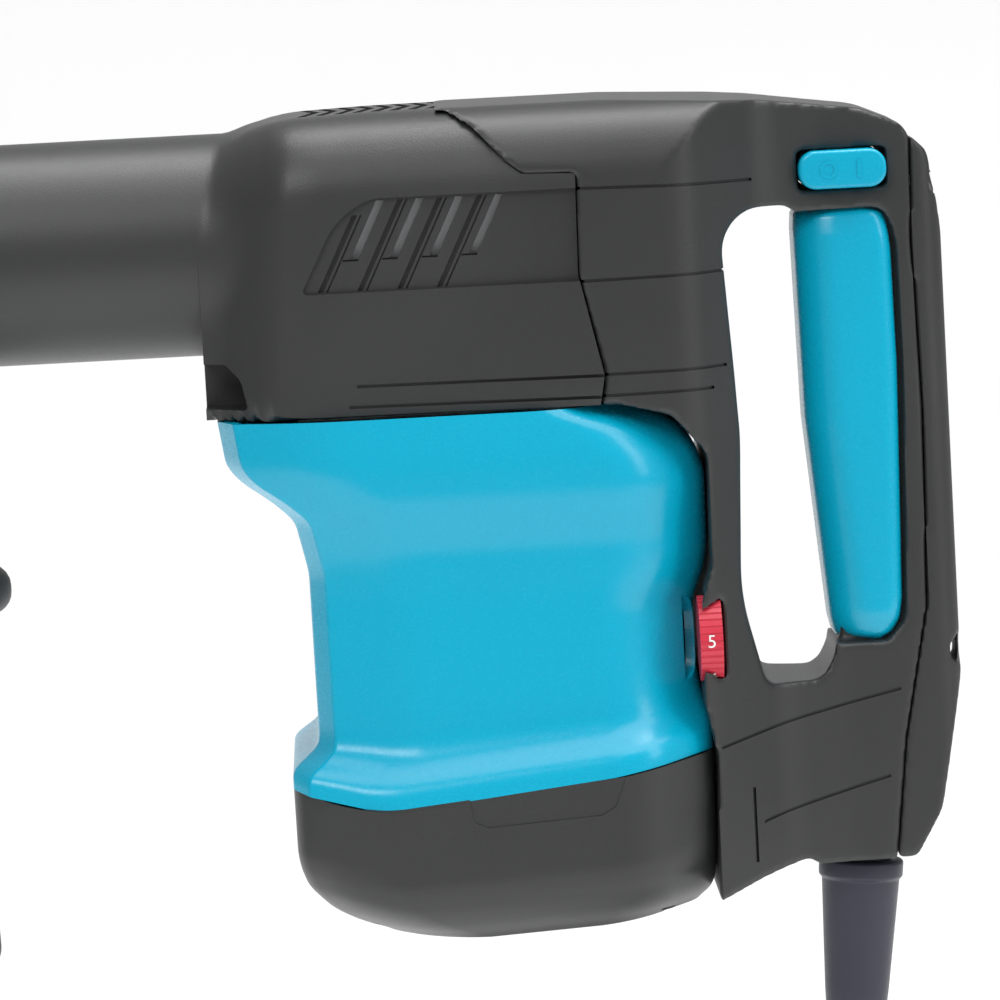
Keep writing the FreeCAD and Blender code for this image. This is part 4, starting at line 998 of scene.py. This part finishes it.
def handle_lines():
    """Lines that carry the crank housing's panel over the handle, and the lines of the lower arm."""
    lines = (
        ((330, -39.6), (383, -39.2)), ((330, -45.6), (379, -45.1)), ((330, 13.2), (393, 11.9)),
        ((330, -13.2), (386, -12.6)), ((376, -146.8), (429, -135.7)), ((387.6, -169.9), (425, -160.5)),
        ((385, -159.6), (385, -181)))
    return join([slab(start, end, LINE_WIDE) for start, end in lines])


def handle_webs():
    """Webs behind the grip insert and round the switch lever, so that no light passes."""
    grip = [(410, 4, 0), (436, 4, 0), (436, -124, 0), (413, -124, 0)]
    lever = rectangle(402.5, 436, 4, 21.5)
    return [prism("grip_web", grip, "Y", -14, 14), prism("lever_web", lever, "Y", -13, 13)]


LEVER_LONG = 24.8
LEVER_CLEARANCE = 0.3


def lever_channel():
    """Clearance for the switch lever and its arm."""
    low, high = (Vector(corner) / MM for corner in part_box("on_off_lever"))
    gap = LEVER_CLEARANCE
    front = high.x - LEVER_LONG - gap
    bar = rectangle(front, high.x + gap, low.z - gap, high.z + gap, 5)
    arm = rectangle(low.x - 1, front + 2, low.z + 1, high.z - 1)
    return [prism("bar_channel", bar, "Y", -26, 26, 8), prism("arm_channel", arm, "Y", -3.6, 8.6)]


def grip_room():
    """The part of the handle that the grip insert takes up in front."""
    corners = [(396, 1.6, 0), (408.4, 1.6, 0), (408.4, -60, 0), (413.2, -121.4, 0), (396, -121.4, 0)]
    return prism("grip_room", corners, "Y", -40, 40)


class HAMMER_OT_handle(bpy.types.Operator):
    """D handle in one moulding behind the crank housing, and its rear cover"""

    bl_idname = "hammer.handle"
    bl_label = "D handle"

    def execute(self, context):
        handle = node_copy("handle", "handle_shell")
        subtract(handle, grip_room())
        handle = join([handle] + handle_webs())
        moulded(handle, 0.95, 5, 0.4)
        engrave(handle, handle_lines(), LINE_DEEP)
        for cutter in lever_channel():
            subtract(handle, cutter)
        finish_piece(handle, "root", "black_plastic", ("handle",), 40)
        cover = moulded(node_copy("handle_cover", "handle_rear"), 0.9, 5, 0.5)
        finish_piece(cover, "root", "black_plastic", ("handle_cover",), 40)
        return {"FINISHED"}


GRIP_HIGH = 1.9
GRIP_LOW = -121.7
GRIP_RINGS = 98
GRIP_STEP = 1.26
# height, then the place of the front or back, or half the width
GRIP_FRONT = [(-121.8, 413), (-120, 411.2), (-116, 410.3), (-58, 405.7), (-4, 404.9), (0.6, 405.2),
              (1.9, 406.6)]
GRIP_BACK = [(-121.8, 425), (-120, 427.6), (-116, 429.8), (-110, 430.8), (-42, 432.4), (-10, 432.1),
             (-3, 431.4), (0.6, 430), (1.9, 427)]
GRIP_HALF = [(-121.8, 15), (-120, 17.8), (-114, 19.7), (-60, 20.3), (-6, 20.1), (0.2, 18.6), (1.9, 16.5)]


def grip_loop(high):
    """A level section of the grip insert: a full round in front and a tight edge behind."""
    front = along(GRIP_FRONT, high)
    back = along(GRIP_BACK, high)
    half = along(GRIP_HALF, high)
    halves = [(front, half, min(half * 0.72, 12)), (back, half - 0.5, 4.5)]
    return [(p.x, p.y, high) for p in rounded_outline(mirrored(halves), 9)]


class HAMMER_OT_grip_insert(bpy.types.Operator):
    """Teal insert of the grip"""

    bl_idname = "hammer.grip_insert"
    bl_label = "Grip insert"

    def execute(self, context):
        heights = [GRIP_HIGH - 0.4 - GRIP_STEP * ring for ring in range(GRIP_RINGS)]
        insert = skin("grip_face", [grip_loop(high) for high in (GRIP_HIGH - 0.02, *heights, GRIP_LOW)])
        finish_piece(insert, "root", "teal_plastic", ("grip_insert",), 60)
        return {"FINISHED"}


# ---------------------------------------------------------------- controls

class HAMMER_OT_switch_lever(bpy.types.Operator):
    """Push through switch lever with its on and off marks"""

    bl_idname = "hammer.switch_lever"
    bl_label = "Switch lever"

    def execute(self, context):
        low, high = (Vector(corner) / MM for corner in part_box("on_off_lever"))
        front = high.x - LEVER_LONG
        lever = prism("lever_bar", rectangle(front, high.x, low.z, high.z, 4.8), "Y", low.y, high.y, 8)
        steep = math.radians(60)
        apply_modifier(lever, "BEVEL", width=1.1 * MM, segments=4, limit_method="ANGLE", angle_limit=steep)
        marks = lever_marks(front, low, high)
        arm = prism("lever_arm", rectangle(low.x, front + 1, low.z + 1.5, high.z - 1.5), "Y", -3, 3)
        lever = join([lever, arm] + marks)
        finish_piece(lever, "lever", "teal_plastic", ("on_off_lever",), 40)
        return {"FINISHED"}


def lever_marks(front, low, high):
    """Raised line for on and ring for off on the face that is pushed."""
    middle = (low.z + high.z) / 2
    start = low.y - 0.25
    end = low.y + 0.6
    stroke = rectangle(front + 16.5, front + 17.7, middle - 2.6, middle + 2.6, 0.4)
    line = prism("on_mark", stroke, "Y", start, end)
    profile = [(start, 1.6), (start, 2.6), (end, 2.6), (end, 1.6)]
    circle = turned("off_mark", profile, (front + 8.5, 0, middle), Y_AXIS, 32)
    return [line, circle]


NUMBER_SPACING = math.radians(60)
NUMBER_SIZE = 5.2
NUMBER_PROUD = 0.12


class HAMMER_OT_dial_numbers(bpy.types.Operator):
    """Numbers one to five round the speed dial's rim"""

    bl_idname = "hammer.dial_numbers"
    bl_label = "Dial numbers"

    def execute(self, context):
        low, high = (Vector(corner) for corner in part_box("speed_dial"))
        middle = (low + high) / 2
        radius = (high.z - low.z) / 2
        numbers = join([dial_number(number, middle, radius) for number in range(1, 6)])
        numbers.name = "dial_numbers"
        finish_piece(numbers, "dial", "dial_plastic", paint="number_paint")
        return {"FINISHED"}


def dial_number(number, middle, radius):
    """A number painted on the rim; five faces the near side at rest."""
    text = bpy.data.curves.new("number", "FONT")
    text.body = str(number)
    text.size = NUMBER_SIZE * MM
    text.align_x = "CENTER"
    text.align_y = "CENTER"
    text.extrude = NUMBER_PROUD * MM
    thing = bpy.data.objects.new("number", text)
    bpy.context.collection.objects.link(thing)
    make_active(thing)
    bpy.ops.object.convert(target="MESH")
    stand = Matrix.Rotation(math.radians(90), 4, "X")
    out = Matrix.Translation(Vector((0, -radius, 0)))
    turn = Matrix.Rotation(NUMBER_SPACING * (5 - number), 4, "X")
    thing.data.transform(Matrix.Translation(middle) @ turn @ out @ stand)
    return thing


# ---------------------------------------------------------------- side grip

class HAMMER_OT_side_grip(bpy.types.Operator):
    """Ribbed side handle below its clamping band"""

    bl_idname = "hammer.side_grip"
    bl_label = "Side grip"

    def execute(self, context):
        low, high = (Vector(corner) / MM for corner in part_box("side_grip_handle"))
        flange = (high.x - low.x) / 2
        middle = (low.x + high.x) / 2
        long = high.z - low.z
        corners = [(0, 5.1, 0), (0, flange, 6.1), (12.4, flange, 6.1), (15.4, 16.5, 4)]
        corners += rib_corners(22, long - 30, 16.6, 17.2)
        corners += [(long - 22, 17.6, 20), (long - 6, 18.2, 8), (long, 15, 5), (long, 0.4, 0),
                    (40.6, 0.4, 0), (40.6, 5.1, 0)]
        grip = turned("side_handle_grip", rounded_profile(corners, 5), (middle, 0, high.z), -Z_AXIS, 72)
        finish_piece(grip, "side_handle", "grip_rubber", ("side_grip_handle",), 50)
        return {"FINISHED"}


GRIP_RIBS = 9


def rib_corners(start, end, first, last):
    """Round ribs along the grip."""
    pitch = (end - start) / GRIP_RIBS
    corners = []
    for index in range(GRIP_RIBS):
        place = start + pitch * index
        radius = first + (last - first) * index / GRIP_RIBS
        corners += [(place, radius - 0.7, 0.5), (place + pitch * 0.3, radius + 0.6, 1.4),
                    (place + pitch * 0.7, radius + 0.6, 1.4)]
    return corners


# ---------------------------------------------------------------- chuck

class HAMMER_OT_chuck(bpy.types.Operator):
    """Rubber nose cap and the ribbed release sleeve"""

    bl_idname = "hammer.chuck"
    bl_label = "Chuck"

    def execute(self, context):
        nose = [(0, 16.2, 0), (0, 18.8, 1.5), (3.4, 23.6, 4), (9, 24.9, 6), (9.5, 24.2, 0.3),
                (10.5, 24.3, 0.3), (11, 25.2, 0.4), (16.8, 25.5, 1.6), (16.8, 16.2, 0)]
        cap = turned("nose_boot", rounded_profile(nose), (0, 0, 0), X_AXIS, 96)
        finish_piece(cap, "chuck", "rubber", ("nose_cap",), 40)
        sleeve = [(22.1, 16.4, 0), (22.1, 23.6, 1.5), (25, 26.6, 5), (45, 27.3, 10), (48.6, 29.9, 3),
                  (54.9, 29.9, 1.6), (54.9, 22.5, 0), (49.3, 22.5, 0), (49.3, 19.3, 0), (27.1, 19.3, 0),
                  (27.1, 16.4, 0)]
        cover = turned("release_grip", rounded_profile(sleeve), (0, 0, 0), X_AXIS, 180, sleeve_flute)
        finish_piece(cover, "release", "sleeve_plastic", ("release_sleeve",), 40)
        return {"FINISHED"}


FLUTE_COUNT = 20
FLUTE_DEEP = 0.9


def sleeve_flute(place, angle):
    """Shallow finger flutes round the middle of the sleeve."""
    if not 26 < place < 46:
        return 0.0
    ends = smooth_step(place, 26, 30) * (1 - smooth_step(place, 42, 46))
    return -FLUTE_DEEP * ends * max(math.cos(angle * FLUTE_COUNT), 0) ** 0.7


class HAMMER_OT_release_spring(bpy.types.Operator):
    """Spring behind the release sleeve"""

    bl_idname = "hammer.release_spring"
    bl_label = "Release spring"

    def execute(self, context):
        spring = node_copy("release_spring", "sleeve_spring")
        apply_modifier(spring, "DECIMATE", ratio=0.2)
        finish_piece(spring, "chuck", "spring_steel", ("release_spring",))
        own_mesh(spring)
        return {"FINISHED"}


# ---------------------------------------------------------------- floor and light

FLOOR_LOW = -520
FLOOR_HALF = 2200
WORLD_LIGHT = 0.32
LIGHT_AIM = (0.3, 0, -0.08)


def area_light(name, place, power, wide, high):
    """A soft box that faces the tool."""
    lamp = bpy.data.lights.new(name, "AREA")
    lamp.shape = "RECTANGLE"
    lamp.size = wide
    lamp.size_y = high
    lamp.energy = power
    light = bpy.data.objects.new(name, lamp)
    bpy.context.collection.objects.link(light)
    light.location = place
    light.rotation_mode = "QUATERNION"
    light.rotation_quaternion = (Vector(LIGHT_AIM) - Vector(place)).to_track_quat("-Z", "Y")


def sun_light(way, power):
    """Broad light from overhead that keeps the floor white."""
    lamp = bpy.data.lights.new("overhead", "SUN")
    lamp.energy = power
    lamp.angle = math.radians(60)
    light = bpy.data.objects.new("overhead", lamp)
    bpy.context.collection.objects.link(light)
    light.rotation_mode = "QUATERNION"
    light.rotation_quaternion = Vector(way).to_track_quat("Z", "Y")


class HAMMER_OT_stage(bpy.types.Operator):
    """Pale floor that curves up behind the tool, and soft studio light"""

    bl_idname = "hammer.stage"
    bl_label = "Studio"

    def execute(self, context):
        sweep = rounded_outline([(-1400, 0, 0), (9000, 0, 4000), (9000, 7000, 0)], 16)
        outline = [(-FLOOR_HALF, p.x, p.y + FLOOR_LOW) for p in sweep]
        across = [(FLOOR_HALF, y, z) for x, y, z in outline]
        count = len(outline)
        faces = [(i, i + 1, count + i + 1, count + i) for i in range(count - 1)]
        floor = mesh_piece("studio_floor", outline + across, faces)
        make_active(floor)
        bpy.ops.object.shade_smooth()
        floor.data.materials.append(floor_finish())
        area_light("key", (-0.6, -1.9, 1.5), 21, 1.2, 0.8)
        area_light("side", (1.9, -0.9, 0.7), 8, 0.5, 1.4)
        area_light("top", (0.4, 0.3, 1.6), 16, 1.6, 0.5)
        sun_light((0.3, -0.1, 1), 2.3)
        world = bpy.data.worlds.new("studio")
        context.scene.world = world
        world.use_nodes = True
        background = world.node_tree.nodes["Background"]
        background.inputs["Color"].default_value = (1, 1, 1, 1)
        background.inputs["Strength"].default_value = WORLD_LIGHT
        context.scene.view_settings.view_transform = "Standard"
        return {"FINISHED"}


def floor_finish():
    material, tree, shader, place = new_finish("studio_paper")
    patches = noise(tree, place, 0.7, 2.0)
    tree.links.new(tinted(tree, patches.outputs["Fac"], (0.93, 0.93, 0.93), (0.96, 0.96, 0.96)),
                   shader.inputs["Base Color"])
    shader.inputs["Roughness"].default_value = 0.9
    shader.inputs["Specular IOR Level"].default_value = 0.1
    return material


# ---------------------------------------------------------------- panel and running order

class HAMMER_OT_finishes(bpy.types.Operator):
    """Finishes for every node of the frame"""

    bl_idname = "hammer.finishes"
    bl_label = "Finishes"

    def execute(self, context):
        make_finishes()
        dress_nodes()
        return {"FINISHED"}


STEPS = ("finishes", "camera", "cord", "guard", "crank_housing", "motor_housing", "bottom_cover", "handle",
         "grip_insert", "switch_lever", "dial_numbers", "side_grip", "chuck", "release_spring", "stage")


class HAMMER_PT_panel(bpy.types.Panel):
    """The hammer's pieces in the order in which they are made"""

    bl_idname = "HAMMER_PT_panel"
    bl_label = "Demolition Hammer"
    bl_space_type = "VIEW_3D"
    bl_region_type = "UI"
    bl_category = "Hammer"

    def draw(self, context):
        for name in HammerSizes.__annotations__:
            self.layout.prop(context.scene.hammer_sizes, name)
        for name in HammerColours.__annotations__:
            self.layout.prop(context.scene.hammer_colours, name)
        for step in STEPS:
            self.layout.operator("hammer." + step)


CLASSES = (
    HammerSizes, HammerColours, HAMMER_OT_finishes, HAMMER_OT_camera, HAMMER_OT_cord, HAMMER_OT_guard,
    HAMMER_OT_crank_housing, HAMMER_OT_motor_housing, HAMMER_OT_bottom_cover, HAMMER_OT_handle,
    HAMMER_OT_grip_insert, HAMMER_OT_switch_lever, HAMMER_OT_dial_numbers, HAMMER_OT_side_grip,
    HAMMER_OT_chuck, HAMMER_OT_release_spring, HAMMER_OT_stage, HAMMER_PT_panel)


def register():
    for kind in CLASSES:
        bpy.utils.register_class(kind)
    bpy.types.Scene.hammer_sizes = bpy.props.PointerProperty(type=HammerSizes)
    bpy.types.Scene.hammer_colours = bpy.props.PointerProperty(type=HammerColours)


def unregister():
    del bpy.types.Scene.hammer_colours
    del bpy.types.Scene.hammer_sizes
    for kind in reversed(CLASSES):
        bpy.utils.unregister_class(kind)


def main():
    register()
    for step in STEPS:
        getattr(bpy.ops.hammer, step)()


if __name__ == "__main__":
    main()
